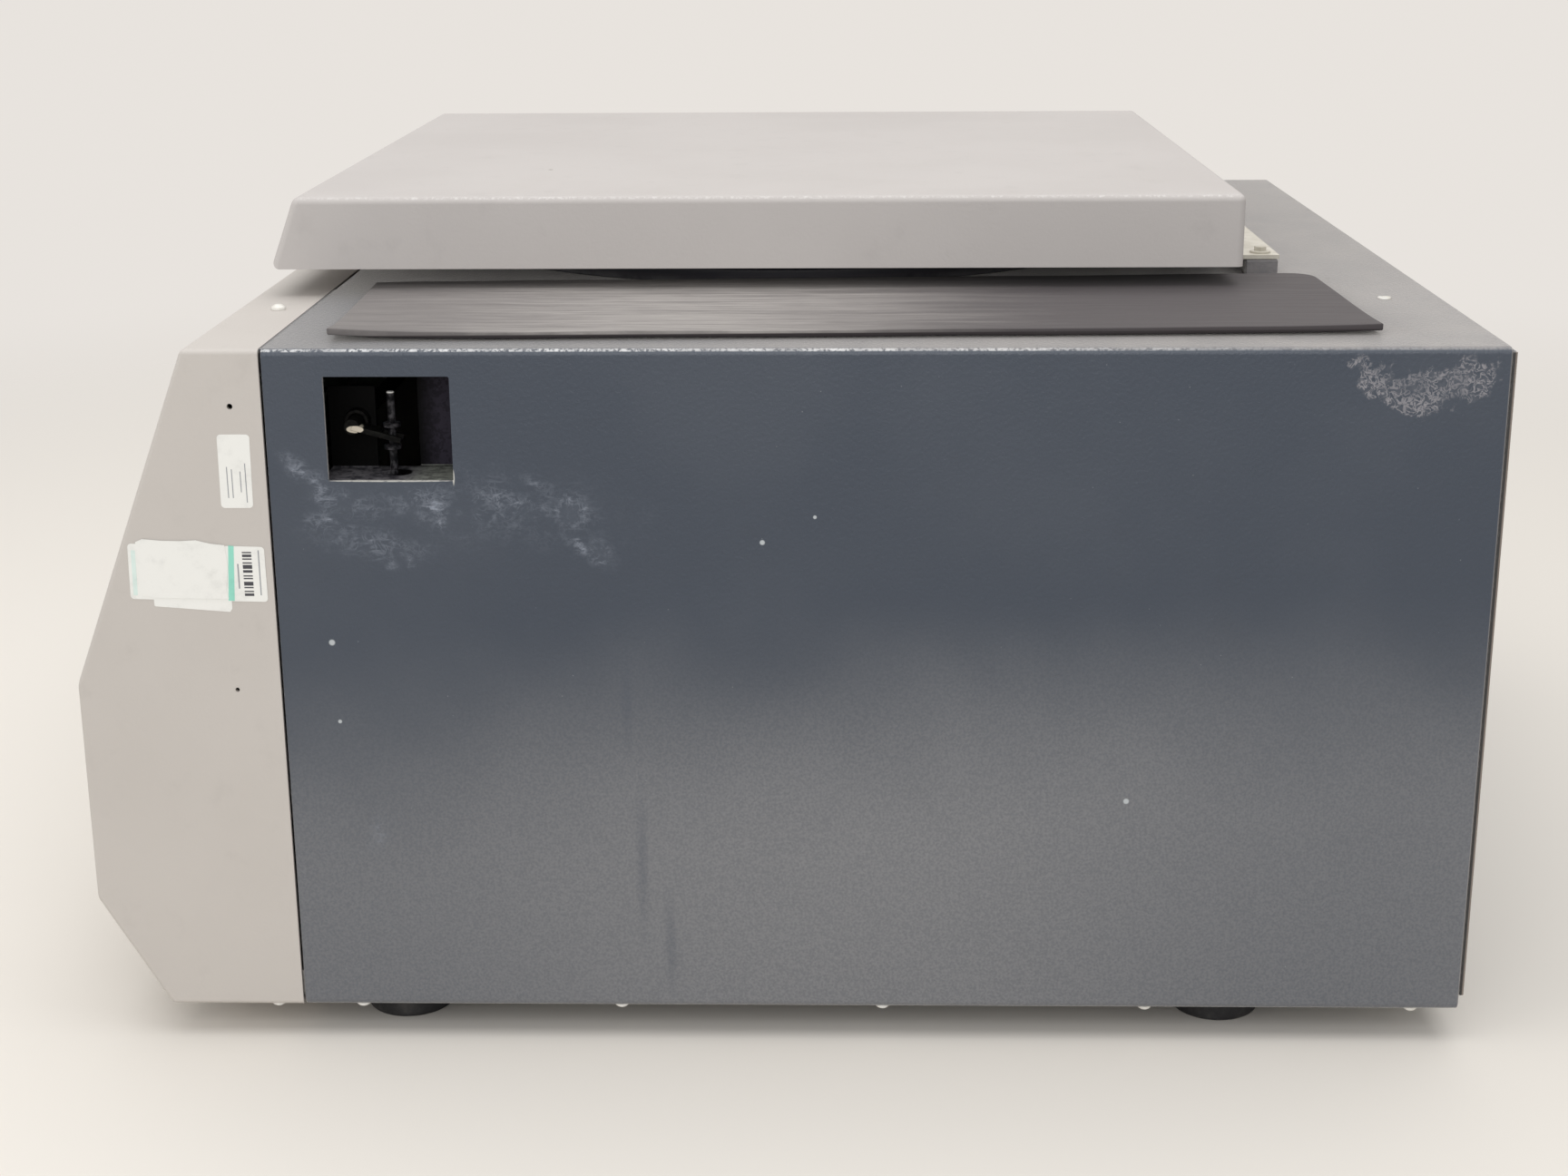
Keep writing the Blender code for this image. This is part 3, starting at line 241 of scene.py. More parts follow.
class Finish(Nodes):
    """A material under construction. Patterns read the piece's own coordinates, in metres."""

    def __init__(self, name, colour, roughness, metallic=0.0, **sockets):
        self.material = bpy.data.materials.new(f"{name}_finish")
        self.material.use_nodes = True
        super().__init__(self.material.node_tree)
        self.shader = self.tree.nodes["Principled BSDF"]
        sockets.update(Base_Color=(*colour, 1), Roughness=roughness, Metallic=metallic)
        for label, value in sockets.items():
            self.shader.inputs[label.replace("_", " ")].default_value = value
        self.tone = colour
        self.place = self.add("ShaderNodeTexCoord", output="Object")

    def vector(self, operation, first, second):
        return self.add("ShaderNodeVectorMath", first, second, operation=operation)

    def length(self, vector):
        return self.add("ShaderNodeVectorMath", vector, operation="LENGTH", output="Value")

    def stretched(self, scale, lean=0.0):
        """The piece's coordinates, scaled and turned about X."""
        return self.add("ShaderNodeMapping", self.place, None, (lean, 0, 0), scale)

    def noise(self, scale, detail=3.0, rough=0.5, where=None, distort=0.0):
        values = (where or self.place, None, scale, detail, rough, None, None, None, distort)
        return self.add("ShaderNodeTexNoise", *values)

    def cells(self, scale, output="Distance"):
        return self.add("ShaderNodeTexVoronoi", self.place, None, scale, output=output)

    def axis(self, name):
        """The piece's X, Y or Z."""
        return self.add("ShaderNodeSeparateXYZ", self.place, output=name)

    def behind(self, low, high, first=0.0, last=1.0):
        """Runs from first to last between two distances behind the seam."""
        return self.axis("Y").fit(back(low), back(high), first, last)

    def above(self, low, high, first=0.0, last=1.0):
        """Runs from first to last between two heights over the base."""
        return self.axis("Z").fit(over(low), over(high), first, last)

    def spot(self, centre, reach, soft=0.4, lean=0.0):
        """1 inside an ellipsoid about a point, falling to 0 at its rim."""
        away = self.vector("SUBTRACT", self.place, centre)
        if lean:
            away = self.add("ShaderNodeMapping", away, None, (-lean, 0, 0))
        return self.length(self.vector("DIVIDE", away, reach)).fit(soft, 1.0, 1.0, 0.0)

    def mix(self, amount, first, second):
        """The first colour or pattern, which gives way to the second by the amount."""
        ends = [(*end, 1) if isinstance(end, tuple) else end for end in (first, second)]
        unused = [None] * 5
        return self.add("ShaderNodeMix", amount, *unused, *ends, output=2, data_type="RGBA")

    def coat(self, mask, colour):
        """Lays a colour over the tone so far, as thick as the mask."""
        self.tone = self.mix(mask, self.tone, colour)

    def link(self, label, value):
        self.tree.links.new(value.socket, self.shader.inputs[label])

    def done(self, relief, depth, roughness=None):
        """Links the tone, a relief of that depth and any roughness, and hands the material back."""
        self.link("Base Color", self.tone)
        if roughness:
            self.link("Roughness", roughness)
        self.link("Normal", self.add("ShaderNodeBump", 1.0, depth, None, relief))
        return self.material


def shade(colour, share=1.0, step=0.0):
    """The colour times a share, plus a step."""
    return tuple(part * share + step for part in colour)


def textured_paint(name, colour, less, more, dull=0.0, **sockets):
    """Powder coat with faint blotches and grime. Its orange peel and roughness come with it."""
    paint = Finish(name, colour, 0.42, **sockets)
    blotch = paint.noise(9, 4).fit(0.35, 0.65)
    paint.tone = paint.mix(blotch, shade(colour, step=-less), shade(colour, step=more))
    paint.coat(paint.noise(60, 6, 0.6).fit(0.56, 0.75, 0.0, 0.10), shade(colour, 0.55))
    fine = paint.noise(1500, 2)
    peel = paint.noise(620, 2) * 0.75 + fine * 0.25
    return paint, peel, fine.fit(0.3, 0.7, 0.36 + dull, 0.50 + dull)


def painted_highlight_line(paint, x, z, reach, first, last):
    """A painted highlight where a bend catches the light: a broken line along Y, at one place in X and Z.
    """
    away = paint.vector("SUBTRACT", paint.place, (x, 0, z))
    line = paint.length(paint.vector("MULTIPLY", away, (1 / reach, 0, 1 / reach))).fit(0.35, 1.0, 1.0, 0.0)
    beads = paint.noise(700, 2).fit(first, last)
    return line * beads * paint.noise(60, 3, 0.6).fit(0.38, 0.60, 0.55, 1.0)


def light_paint():
    """The light grey coat of the front shell."""
    paint, peel, rough = textured_paint("light_paint", (0.515, 0.483, 0.452), 0.010, 0.010, 0.16)
    return paint.done(peel, 0.00008, rough)


def lid_paint():
    """The lid's paint: faint stains, a dark chip on its top and a painted highlight along its near top
    edge.
    """
    colour = (0.505, 0.478, 0.463)
    paint, peel, rough = textured_paint("lid_paint", colour, 0.010, 0.010, 0.20, Specular_IOR_Level=0.35)
    stain = paint.noise(22, 5, 0.6).fit(0.55, 0.70, 0.0, 0.08)
    paint.coat(stain * paint.above(LID_TOP - 0.0017, LID_TOP - 0.0002), (0.40, 0.365, 0.33))
    paint.coat(paint.spot(at(0.0528, 0.095, LID_TOP), (0.0018, 0.0016, 0.002), 0.3), (0.18, 0.16, 0.15))
    # Painted highlight along the bend of the lid's near top edge.
    edge = painted_highlight_line(paint, LID_RIGHT - 0.0012, over(LID_TOP - 0.0009), 0.0011, 0.45, 0.66)
    paint.coat(edge * 0.35, (0.80, 0.79, 0.77))
    return paint.done(peel, 0.00010, rough)


# Marks on the right side: behind the seam, over the base, reach along and up, lean, weight
SMEARS = [
    (0.100, 0.2345, 0.036, 0.0075, -0.26, 0.95),
    (0.112, 0.2430, 0.015, 0.0040, -0.55, 0.55),
    (0.1276, 0.2300, 0.0110, 0.0120, -0.60, 1.60),
    (0.1288, 0.2167, 0.0120, 0.0045, -0.70, 0.95),
    (0.1402, 0.2114, 0.0110, 0.0080, -0.95, 1.30),
    (0.0728, 0.2262, 0.0060, 0.0042, 0.20, 1.60),
    (0.0650, 0.2330, 0.0240, 0.0130, -0.20, 1.00),
    (0.0110, 0.2500, 0.0120, 0.0065, -0.80, 1.10),
    (0.0204, 0.2400, 0.0075, 0.0120, 0.10, 0.95),
    (0.0320, 0.2340, 0.0220, 0.0100, -0.20, 0.70),
    (0.0223, 0.2260, 0.0110, 0.0100, 0.20, 0.85),
    (0.0420, 0.2170, 0.0420, 0.0110, -0.15, 0.55),
    (0.0513, 0.2066, 0.0050, 0.0040, 0.10, 1.30),
    (0.0576, 0.2093, 0.0040, 0.0060, 0.30, 0.90),
    (0.0400, 0.0850, 0.0090, 0.0160, -0.50, 0.30),
    (0.0900, 0.2330, 0.0900, 0.0260, -0.10, 0.28),
]
THREADS = [
    (0.4630, 0.2860, 0.0135, 0.0120, 0, 0.9),
    (0.4800, 0.2810, 0.0260, 0.0150, 0, 1.0),
    (0.5000, 0.2870, 0.0190, 0.0140, 0, 1.0),
    (0.4560, 0.2940, 0.0140, 0.0060, 0, 0.6),
]
DARK_RUNS = [
    (0.149, 0.145, 0.004, 0.030, 0, 0.30),
    (0.154, 0.070, 0.004, 0.050, 0, 0.30),
    (0.166, 0.030, 0.004, 0.035, 0, 0.30),
]
# Chips on the same side: behind the seam, over the base, radius
CHIPS = [(0.2083, 0.2169, 0.0014), (0.0225, 0.1722, 0.0017), (0.3660, 0.0998, 0.0016)]
CHIPS += [(0.0238, 0.1361, 0.0011), (0.2306, 0.2280, 0.0010)]
# Dark specks on the deck: across, behind the seam
DECK_SPECKS = [(-0.2627, 0.5150), (-0.1398, 0.5150), (0.1120, 0.4770)]


def side_marks(paint, places):
    """The strongest of several soft ellipses on the right side."""
    marks = None
    for distance, height, along, up, lean, weight in places:
        mark = paint.spot(at(HALF_WIDTH, distance, height), (0.004, along, up), 0.0, lean) * weight
        marks = marks.most(mark) if marks else mark
    return marks


def floor_light_and_dust_film(paint, side):
    """A pale film low on both sides, thinner to the front and the rear: dust, and painted light from the
    floor; and the runs in it.
    """
    # Painted light: the floor's bounce and reflection on the lower sides, laid in with the dust as one
    # pale film.
    low = (paint.axis("Z") + (paint.noise(5, 3) - 0.5) * 0.10).fit(over(0.185), over(0.080), 0.0, 0.79)
    low = low * abs(paint.axis("Y") - back(0.24)).fit(0.02, 0.24, 1.0, 0.70)
    paint.coat(low * side * paint.noise(900, 3).fit(0.3, 0.7, 0.78, 1.16), (0.195, 0.198, 0.208))
    paint.coat(side_marks(paint, DARK_RUNS), (0.035, 0.048, 0.075))


def smears(paint):
    """White smears on the right side, broken up into strokes and curls."""
    strokes = paint.noise(1, 4, 0.62, paint.stretched((150, 150, 420), math.radians(30)), 0.9)
    curls = abs(paint.noise(150, 3, 0.6, distort=1.3) - 0.5).fit(0.0, 0.07, 1.0, 0.0) * 0.55
    wisps = curls.most(strokes.fit(0.46, 0.68)) * paint.noise(80, 5, 0.7).fit(0.38, 0.66)
    paint.coat(side_marks(paint, SMEARS) * (wisps + 0.04), (0.26, 0.29, 0.35))


def threads(paint):
    """A ragged patch of curled pale threads near the rear top corner, in a faint haze."""
    pale = (0.29, 0.28, 0.30)
    curled = abs(paint.noise(330, 2, 0.6, distort=1.0) - 0.5).fit(0.0, 0.075, 1.0, 0.0)
    ragged = paint.noise(110, 4, 0.65).fit(0.35, 0.68, 0.0, 0.55, smooth=False)
    patch = (side_marks(paint, THREADS) - ragged).fit(0.0, 0.22)
    paint.coat(curled * patch * paint.noise(60, 2).fit(0.35, 0.6, 0.35, 0.75), pale)
    paint.coat(patch * paint.noise(260, 3).fit(0.35, 0.65, 0.0, 0.10), pale)


def window_rim_highlight(paint):
    """A painted highlight on the cut edge along the release window's foot and up its rear corner."""
    front, rear, low, _ = WINDOW
    reach = (0.0030, (rear - front) / 2 + 0.001, 0.0004)
    foot = paint.spot(at(HALF_WIDTH, (front + rear) / 2, low), reach, 0.85)
    corner = paint.spot(at(HALF_WIDTH, rear, low + 0.0015), (0.0026, 0.0006, 0.0042), 0.5)
    paint.coat(foot.most(corner) * paint.noise(300, 3).fit(0.30, 0.50, 0.45, 1.0), (0.50, 0.50, 0.47))


def edge_highlights_and_gap_shade(paint, side):
    """Painted highlights on the bend along the deck and on the rear rim, painted shade in the gap, and the
    panel's edge behind it.
    """
    # Painted highlight along the bend between the deck and the side.
    edge = painted_highlight_line(paint, HALF_WIDTH - 0.0013, over(COVER_HEIGHT - 0.0006), 0.0012, 0.34, 0.60)
    paint.coat(edge * paint.behind(0.26, 0.46, 1.0, 0.20), (0.58, 0.59, 0.60))
    # Painted highlight on the rear rim's bend.
    rim = paint.behind(COVER_DEPTH - 0.0008, COVER_DEPTH - 0.0004, 0.0, 0.45)
    paint.coat(rim * side, (0.32, 0.30, 0.29))
    # Painted shade: the gap behind the cover, near-black.
    paint.coat(paint.behind(COVER_DEPTH, COVER_DEPTH + 0.0003) * side, (0.006, 0.006, 0.007))
    paint.coat(paint.behind(PANEL_BACK - 0.0011, PANEL_BACK - 0.0008) * side, (0.17, 0.14, 0.12))


def deck_dust_reflection_and_shade(paint):
    """Dust on the deck, lightened to stand in for its bright reflection, thicker to the rear, and mostly
    left off under the lid, where less dust falls and the dark deck is also painted shade; with specks and
    crumbs.
    """
    deck = paint.above(COVER_HEIGHT - 0.0015, COVER_HEIGHT - 0.0001)
    half = (LID_RIGHT - LID_LEFT) / 2
    # Painted shade: under the lid the deck keeps only a tenth of the dust and stays dark.
    beside = abs(paint.axis("X") - (LID_LEFT + LID_RIGHT) / 2).fit(half - 0.020, half)
    outside_lid_shade = beside.most(paint.behind(LID_REAR - 0.010, LID_REAR)).fit(0.0, 1.0, 0.10, 1.0)
    dust = paint.noise(40, 6, 0.6).fit(0.3, 0.7, 0.36, 0.52) * paint.behind(0.02, 0.36, 0.20, 1.0)
    # The dust colour also stands in for the deck's bright reflection, as painted light.
    paint.coat(deck * (dust * outside_lid_shade), (0.335, 0.306, 0.288))
    for across, distance in DECK_SPECKS:
        speck = paint.spot(at(across, distance, COVER_HEIGHT), (0.0018, 0.0018, 0.003))
        paint.coat(speck, (0.02, 0.018, 0.018))
    paint.coat(paint.cells(55).fit(0.0, 0.04, 0.8, 0.0) * deck, (0.03, 0.028, 0.03))


def dark_paint():
    """Dark blue-grey textured paint: dusty on the deck and low on the sides, smeared and chipped, with
    painted light and shade.
    """
    colour = (0.029, 0.041, 0.063)
    bloom = {"Sheen_Weight": 0.90, "Sheen_Roughness": 0.32, "Sheen_Tint": (1.0, 0.96, 0.92, 1.0)}
    paint, peel, rough = textured_paint("dark_paint", colour, 0.005, 0.004, IOR=1.6, **bloom)
    side = abs(paint.axis("X")).fit(HALF_WIDTH - 0.003, HALF_WIDTH - 0.001)
    floor_light_and_dust_film(paint, side)
    smears(paint)
    threads(paint)
    chips = side_marks(paint, [(y, z, radius, radius, 0, 3.0) for y, z, radius in CHIPS])
    specks = paint.cells(95).fit(0.0, 0.035, 0.40, 0.0)
    paint.coat(chips.combined("MINIMUM", 1.0).most(specks), (0.42, 0.45, 0.47))
    window_rim_highlight(paint)
    edge_highlights_and_gap_shade(paint, side)
    deck_dust_reflection_and_shade(paint)
    return paint.done(peel, 0.00030, rough)


def mat_rubber():
    """Worn flat rubber: long dusty streaks, which also stand in for its pale reflection, most of them a
    third of the way back, and a darker rear.
    """
    rubber = Finish("mat_rubber", (0.040, 0.033, 0.037), 0.7, Sheen_Weight=0.06, Sheen_Roughness=0.4)
    long_streaks = rubber.noise(1, 6, 0.62, rubber.stretched((420, 14, 60)))
    short_streaks = rubber.noise(1, 4, 0.6, rubber.stretched((900, 60, 60)))
    streaks = long_streaks * 0.65 + short_streaks * 0.35
    dust = streaks.fit(0.34, 0.68, 0.38, 0.88)
    edge = (rubber.noise(1, 4, 0.6, rubber.stretched((90, 9, 9))) - 0.5) * 0.16
    rear = (rubber.axis("Y") + edge).fit(back(0.18), back(0.35), 1.0, 0.06)
    # The dust's pale colour and its spread across the mat also stand in for the mat's reflection, as
    # painted light.
    rubber.coat(rubber.behind(0.04, 0.15, 0.55, 1.0) * rear * dust, (0.40, 0.375, 0.355))
    rubber.coat(rubber.cells(150).fit(0.0, 0.05, 0.3, 0.0), (0.34, 0.33, 0.33))
    upper = rubber.above(COVER_HEIGHT + 0.0022, COVER_HEIGHT + 0.0028)
    rubber.tone = rubber.mix(upper, (0.020, 0.015, 0.017), rubber.tone)
    return rubber.done(streaks, 0.00018, dust.fit(0, 1, 0.52, 0.82))


def black_rubber():
    """Moulded rubber with a dull bloom."""
    rubber = Finish("black_rubber", (0.012, 0.012, 0.014), 0.6)
    rubber.coat(rubber.noise(70, 5, 0.6).fit(0.42, 0.72), (0.05, 0.048, 0.048))
    return rubber.done(rubber.noise(900, 3), 0.00004, rubber.noise(240, 4).fit(0.3, 0.7, 0.5, 0.72))


def collar_rubber():
    """The chamber's collar: dark, with a lighter lower rim that is a painted reflection of the mat."""
    rubber = Finish("collar_rubber", (0.022, 0.021, 0.034), 0.38)
    # Painted reflection: a pale band along the lower rim, as the mat's light catches it.
    dust = rubber.above(0.3005, 0.3048, 1.0, 0.0) * rubber.noise(60, 5, 0.6).fit(0.3, 0.6, 0.35, 1.0)
    rubber.coat(dust, (0.17, 0.165, 0.175))
    return rubber.done(rubber.noise(500, 3), 0.00003)


def worked_metal(name, colour, roughness, stretch):
    """Bare metal whose grain runs along the smallest part of the stretch."""
    metal = Finish(name, colour, roughness, 1.0)
    grain = metal.noise(1, 5, 0.6, metal.stretched(stretch))
    metal.coat(metal.noise(35, 4).fit(0.35, 0.7), shade(colour, 0.76))
    return metal.done(grain, 0.00002, grain.fit(0.25, 0.75, roughness - 0.08, roughness + 0.14))


def spun_stainless():
    """Bare metal spun about the chamber's axis, so that its grain lies in rings."""
    metal = Finish("stainless", (0.55, 0.55, 0.54), 0.28, 1.0)
    away = metal.vector("SUBTRACT", metal.place, tuple(CHAMBER.translation))
    radius = metal.length(metal.vector("MULTIPLY", away, (1, 1, 0)))
    rings = metal.add("ShaderNodeCombineXYZ", radius, metal.axis("Z"))
    grain = metal.noise(1600, 4, 0.6, rings)
    metal.coat(metal.noise(25, 5).fit(0.35, 0.7), (0.451, 0.451, 0.4428))
    return metal.done(grain, 0.00002, grain.fit(0.3, 0.7, 0.22, 0.40))


def spangled_zinc():
    """Zinc plate with its dull crystal pattern."""
    metal = Finish("zinc", (0.47, 0.47, 0.46), 0.4, 0.9)
    metal.coat(metal.cells(160, "Color").fit(0.2, 0.9, 0.0, 0.5), (0.32, 0.33, 0.34))
    return metal.done(metal.noise(300, 4), 0.00002, metal.noise(120, 5).fit(0.3, 0.7, 0.32, 0.5))


def cast_metal():
    """Grey castings with a lumpy skin."""
    cast = Finish("cast_grey", (0.18, 0.18, 0.19), 0.6, 0.3)
    cast.coat(cast.noise(40, 5).fit(0.35, 0.7), (0.12, 0.12, 0.125))
    lumps = cast.noise(650, 5, 0.65)
    return cast.done(lumps, 0.00015, lumps.fit(0.3, 0.7, 0.5, 0.72))


def shaded_in_window(name, colour, mottle, lit_part, place, reach):
    """A piece behind the release window, painted near-black as painted shade, mottled, and painted lighter
    about one point where the light reaches it.
    """
    metal = Finish(name, colour, 0.55, Specular_IOR_Level=0.08)
    metal.coat(metal.noise(420, 4, 0.7).fit(0.42, 0.62), mottle)
    # Painted light: the part that the light through the window reaches.
    metal.coat(metal.spot(place, reach, 0.85), lit_part)
    return metal.done(metal.noise(600, 3), 0.00003, metal.noise(300, 4).fit(0.3, 0.7, 0.42, 0.7))


def bracket_light_and_shade():
    """The painted bracket: a dusty ledge, lighter towards its rear, under near-black walls, with painted
    light and shade.
    """
    # Near-black: painted shade inside the window.
    black = (0.0015, 0.0015, 0.0015)
    metal = Finish("window_bracket_lit_and_shaded", black, 0.6, Specular_IOR_Level=0.08)
    # Painted light: the ledge lighter towards its rear, where light from the window reaches.
    rear = metal.behind(0.052, 0.070)
    # The ledge's colours, clean and dusty, are lightened over its dust as painted light.
    clean = metal.mix(rear, (0.030, 0.029, 0.035), (0.11, 0.115, 0.105))
    dusty = metal.mix(rear, (0.14, 0.135, 0.145), (0.26, 0.275, 0.24))
    ledge = metal.mix(metal.noise(260, 5, 0.65).fit(0.35, 0.65), clean, dusty)
    grain = metal.noise(500, 2).fit(0.4, 0.6, 0.7, 1.2)
    # Painted light on the walls towards the rear.
    metal.coat(metal.behind(0.058, 0.072) * grain, (0.040, 0.035, 0.050))
    metal.coat(metal.above(0.2440, 0.2434), ledge)
    # Painted shade: a black spot over the hole in the ledge.
    metal.coat(metal.spot(at(0.272, 0.0526, 0.2433), (0.0064, 0.0060, 0.0050), 0.8), black)
    return metal.done(metal.noise(620, 2), 0.0001)


def moulded(name, colour, roughness, dusty=0.18):
    """Moulded plastic or enamel with a fine grain and a little dust."""
    plastic = Finish(name, colour, roughness)
    plastic.coat(plastic.noise(80, 5, 0.6).fit(0.5, 0.8, 0.0, dusty), (0.30, 0.29, 0.28))
    grain = plastic.noise(1400, 2)
    return plastic.done(grain, 0.00002, grain.fit(0.3, 0.7, roughness - 0.05, roughness + 0.10))


def aged_ivory(name, colour, aged, roughness):
    """Pale plating or plastic, yellowed in patches."""
    ivory = Finish(name, colour, roughness)
    ivory.coat(ivory.noise(55, 5, 0.6).fit(0.38, 0.68), aged)
    ivory.coat(ivory.noise(180, 5, 0.6).fit(0.55, 0.75, 0.0, 0.5), (0.22, 0.19, 0.14))
    return ivory.done(ivory.noise(700, 3), 0.00004)


def board_finish():
    """A circuit board: green lacquer over fine straight tracks."""
    board = Finish("circuit_board", (0.015, 0.10, 0.045), 0.35)
    tracks, across = [
        (board.axis(axis) * lines).combined("SINE") for axis, lines in (("Z", 2400), ("X", 2100))
    ]
    lines = board.mix(board.noise(90, 1).fit(0.47, 0.53), tracks, across).fit(0.3, 0.6)
    board.coat(lines, (0.03, 0.19, 0.09))
    return board.done(lines, 0.00005)


def foam_finish():
    """Yellowish insulation foam with open pores."""
    foam = Finish("foam", (0.40, 0.35, 0.25), 0.95)
    pores = foam.cells(420)
    foam.coat(pores.fit(0.1, 0.7), (0.60, 0.55, 0.42))
    return foam.done(pores, 0.0006)


def fascia_film():
    """The printed film of the control panel: a mid grey with a fine mesh grain."""
    film = Finish("fascia_film", (0.30, 0.32, 0.34), 0.5)
    film.coat(film.noise(30, 4).fit(0.35, 0.7), (0.27, 0.29, 0.31))
    grain = film.noise(1800, 2)
    return film.done(grain, 0.00003, grain.fit(0.3, 0.7, 0.42, 0.6))


def printed(name, colour):
    """Sticker paper or print, slightly soiled."""
    paper = Finish(name, colour, 0.45)
    paper.coat(paper.noise(110, 6, 0.65).fit(0.48, 0.78, 0.0, 0.35), shade(colour, 0.6))
    return paper.done(paper.noise(260, 3), 0.00006)


def make_finishes():
    """Every material, by name."""
    made = [
        dark_paint(),
        light_paint(),
        lid_paint(),
        mat_rubber(),
        black_rubber(),
        collar_rubber(),
        spangled_zinc(),
        spun_stainless(),
        worked_metal("steel", (0.40, 0.40, 0.41), 0.33, (900, 900, 90)),
        cast_metal(),
        moulded("black_enamel", (0.01, 0.01, 0.01), 0.25),
        worked_metal("aluminium", (0.62, 0.62, 0.63), 0.34, (700, 700, 90)),
        foam_finish(),
        aged_ivory("ivory", (0.60, 0.57, 0.50), (0.48, 0.45, 0.38), 0.42),
        aged_ivory("ivory_plastic", (0.64, 0.60, 0.50), (0.54, 0.49, 0.38), 0.38),
        moulded("black_plastic", (0.015, 0.015, 0.017), 0.4),
        board_finish(),
        moulded("smoked_window", (0.02, 0.008, 0.008), 0.12, 0.03),
        moulded("green_plastic", (0.03, 0.30, 0.10), 0.35),
        moulded("red_plastic", (0.50, 0.03, 0.03), 0.35),
        fascia_film(),
        printed("white_label", (0.80, 0.80, 0.77)),
        printed("green_label", (0.28, 0.66, 0.54)),
        printed("pale_green", (0.66, 0.78, 0.74)),
        printed("grey_print", (0.30, 0.31, 0.33)),
        printed("dark_print", (0.05, 0.05, 0.06)),
        aged_ivory("screw_white", (0.80, 0.79, 0.76), (0.66, 0.64, 0.58), 0.35),
        bracket_light_and_shade(),
        # Pieces in the window in painted shade, with a painted highlight on the rod's top and lit ends on
        # lever and bush.
        shaded_in_window("rod_shaded_highlit", (0.004, 0.004, 0.005), (0.055, 0.053, 0.058), (0.78, 0.77, 0.74),
                  at(0.272, 0.0503, 0.2794), (0.004, 0.004, 0.0014)),
        shaded_in_window("lever_shaded_end", (0.002, 0.002, 0.002), (0.007, 0.007, 0.006), (0.62, 0.56, 0.46),
                  at(0.275, 0.0352, 0.2631), (0.009, 0.0040, 0.0017)),
        shaded_in_window("bush_shaded", (0.003, 0.003, 0.003), (0.014, 0.013, 0.012), (0.42, 0.40, 0.36),
                  at(0.266, 0.0325, 0.2590), (0.004, 0.0015, 0.0007)),
    ]
    return {material.name.removesuffix("_finish"): material for material in made}


FINISHES = make_finishes()

HERE = Matrix.Identity(4)


def new_thing(name, data):
    """An object at the origin of the scene, from a mesh, a lamp's or a camera's data."""
    thing = bpy.data.objects.new(name, data)
    bpy.context.scene.collection.objects.link(thing)
    return thing


def built(name, shape, finish="dark_paint"):
    """An object from a bmesh, its faces turned outwards."""
    bmesh.ops.recalc_face_normals(shape, faces=shape.faces)
    if shape.calc_volume(signed=True) < 0:
        bmesh.ops.reverse_faces(shape, faces=shape.faces)
    mesh = bpy.data.meshes.new(name)
    shape.to_mesh(mesh)
    shape.free()
    mesh.materials.append(FINISHES[finish])
    mesh.shade_smooth()
    mesh.set_sharp_from_angle(angle=CRISP_ANGLE)
    return new_thing(name, mesh)


def settle(thing):
    """Turns the object's modifiers into its plain mesh."""
    graph = bpy.context.evaluated_depsgraph_get()
    mesh = bpy.data.meshes.new_from_object(thing.evaluated_get(graph))
    thing.modifiers.clear()
    thing.data = mesh


def combine(thing, shape, operation):
    """Cuts a shape from the object, or joins it on."""
    helper = built("helper", shape)
    step = thing.modifiers.new(operation, "BOOLEAN")
    step.operation = operation
    step.solver = "EXACT"
    step.object = helper
    settle(thing)
    bpy.data.objects.remove(helper)
    return thing


def cut(thing, shape):
    return combine(thing, shape, "DIFFERENCE")


def soften(thing, width, segments=4, angle=30):
    """Rounds the object's edges that are sharper than the angle."""
    step = thing.modifiers.new("soft edges", "BEVEL")
    step.width = width
    step.segments = segments
    step.limit_method = "ANGLE"
    step.angle_limit = math.radians(angle)
    settle(thing)


def finished(thing, body, *nodes):
    """Evens the shading, sets the piece on its body, and says what it stands for."""
    thing.data.set_sharp_from_angle(angle=CRISP_ANGLE)
    step = thing.modifiers.new("even shading", "WEIGHTED_NORMAL")
    step.keep_sharp = True
    settle(thing)
    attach(thing, body)
    if nodes:
        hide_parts(*nodes)


def piece(name, shape, finish, body, *nodes):
    """Makes and finishes a piece in one go, from a bmesh."""
    finished(built(name, shape, finish), body, *nodes)


def block(low, high, shape=None, place=HERE):
    """A box between two corners."""
    shape = shape or bmesh.new()
    low, high = Vector(low), Vector(high)
    fit = place @ Matrix.Translation((low + high) / 2) @ Matrix.Diagonal((*(high - low), 1.0))
    bmesh.ops.create_cube(shape, size=1.0, matrix=fit)
    return shape


def filleted(corners, steps=5, closed=True):
    """A flat path with an arc at each corner (x, y, radius)."""
    points = []
    count = len(corners)
    for index, (x, y, radius) in enumerate(corners):
        here = Vector((x, y))
        if radius == 0 or (not closed and index in (0, count - 1)):
            points.append(here)
            continue
        before = (Vector(corners[index - 1][:2]) - here).normalized()
        after = (Vector(corners[(index + 1) % count][:2]) - here).normalized()
        half = before.angle(after) / 2
        middle = here + (before + after).normalized() * radius / math.sin(half)
        start = (here + before * radius / math.tan(half) - middle).normalized()
        end = (here + after * radius / math.tan(half) - middle).normalized()
        for step in range(steps + 1):
            points.append(middle + radius * start.slerp(end, step / steps))
    return points


def skin(shape, first, second):
    """The faces between two rings of points, where a ring may be one point over and over."""
    for step in range(len(first)):
        after = (step + 1) % len(first)
        corners = list(dict.fromkeys([first[step], first[after], second[after], second[step]]))
        if len(corners) > 2:
            shape.faces.new(corners)


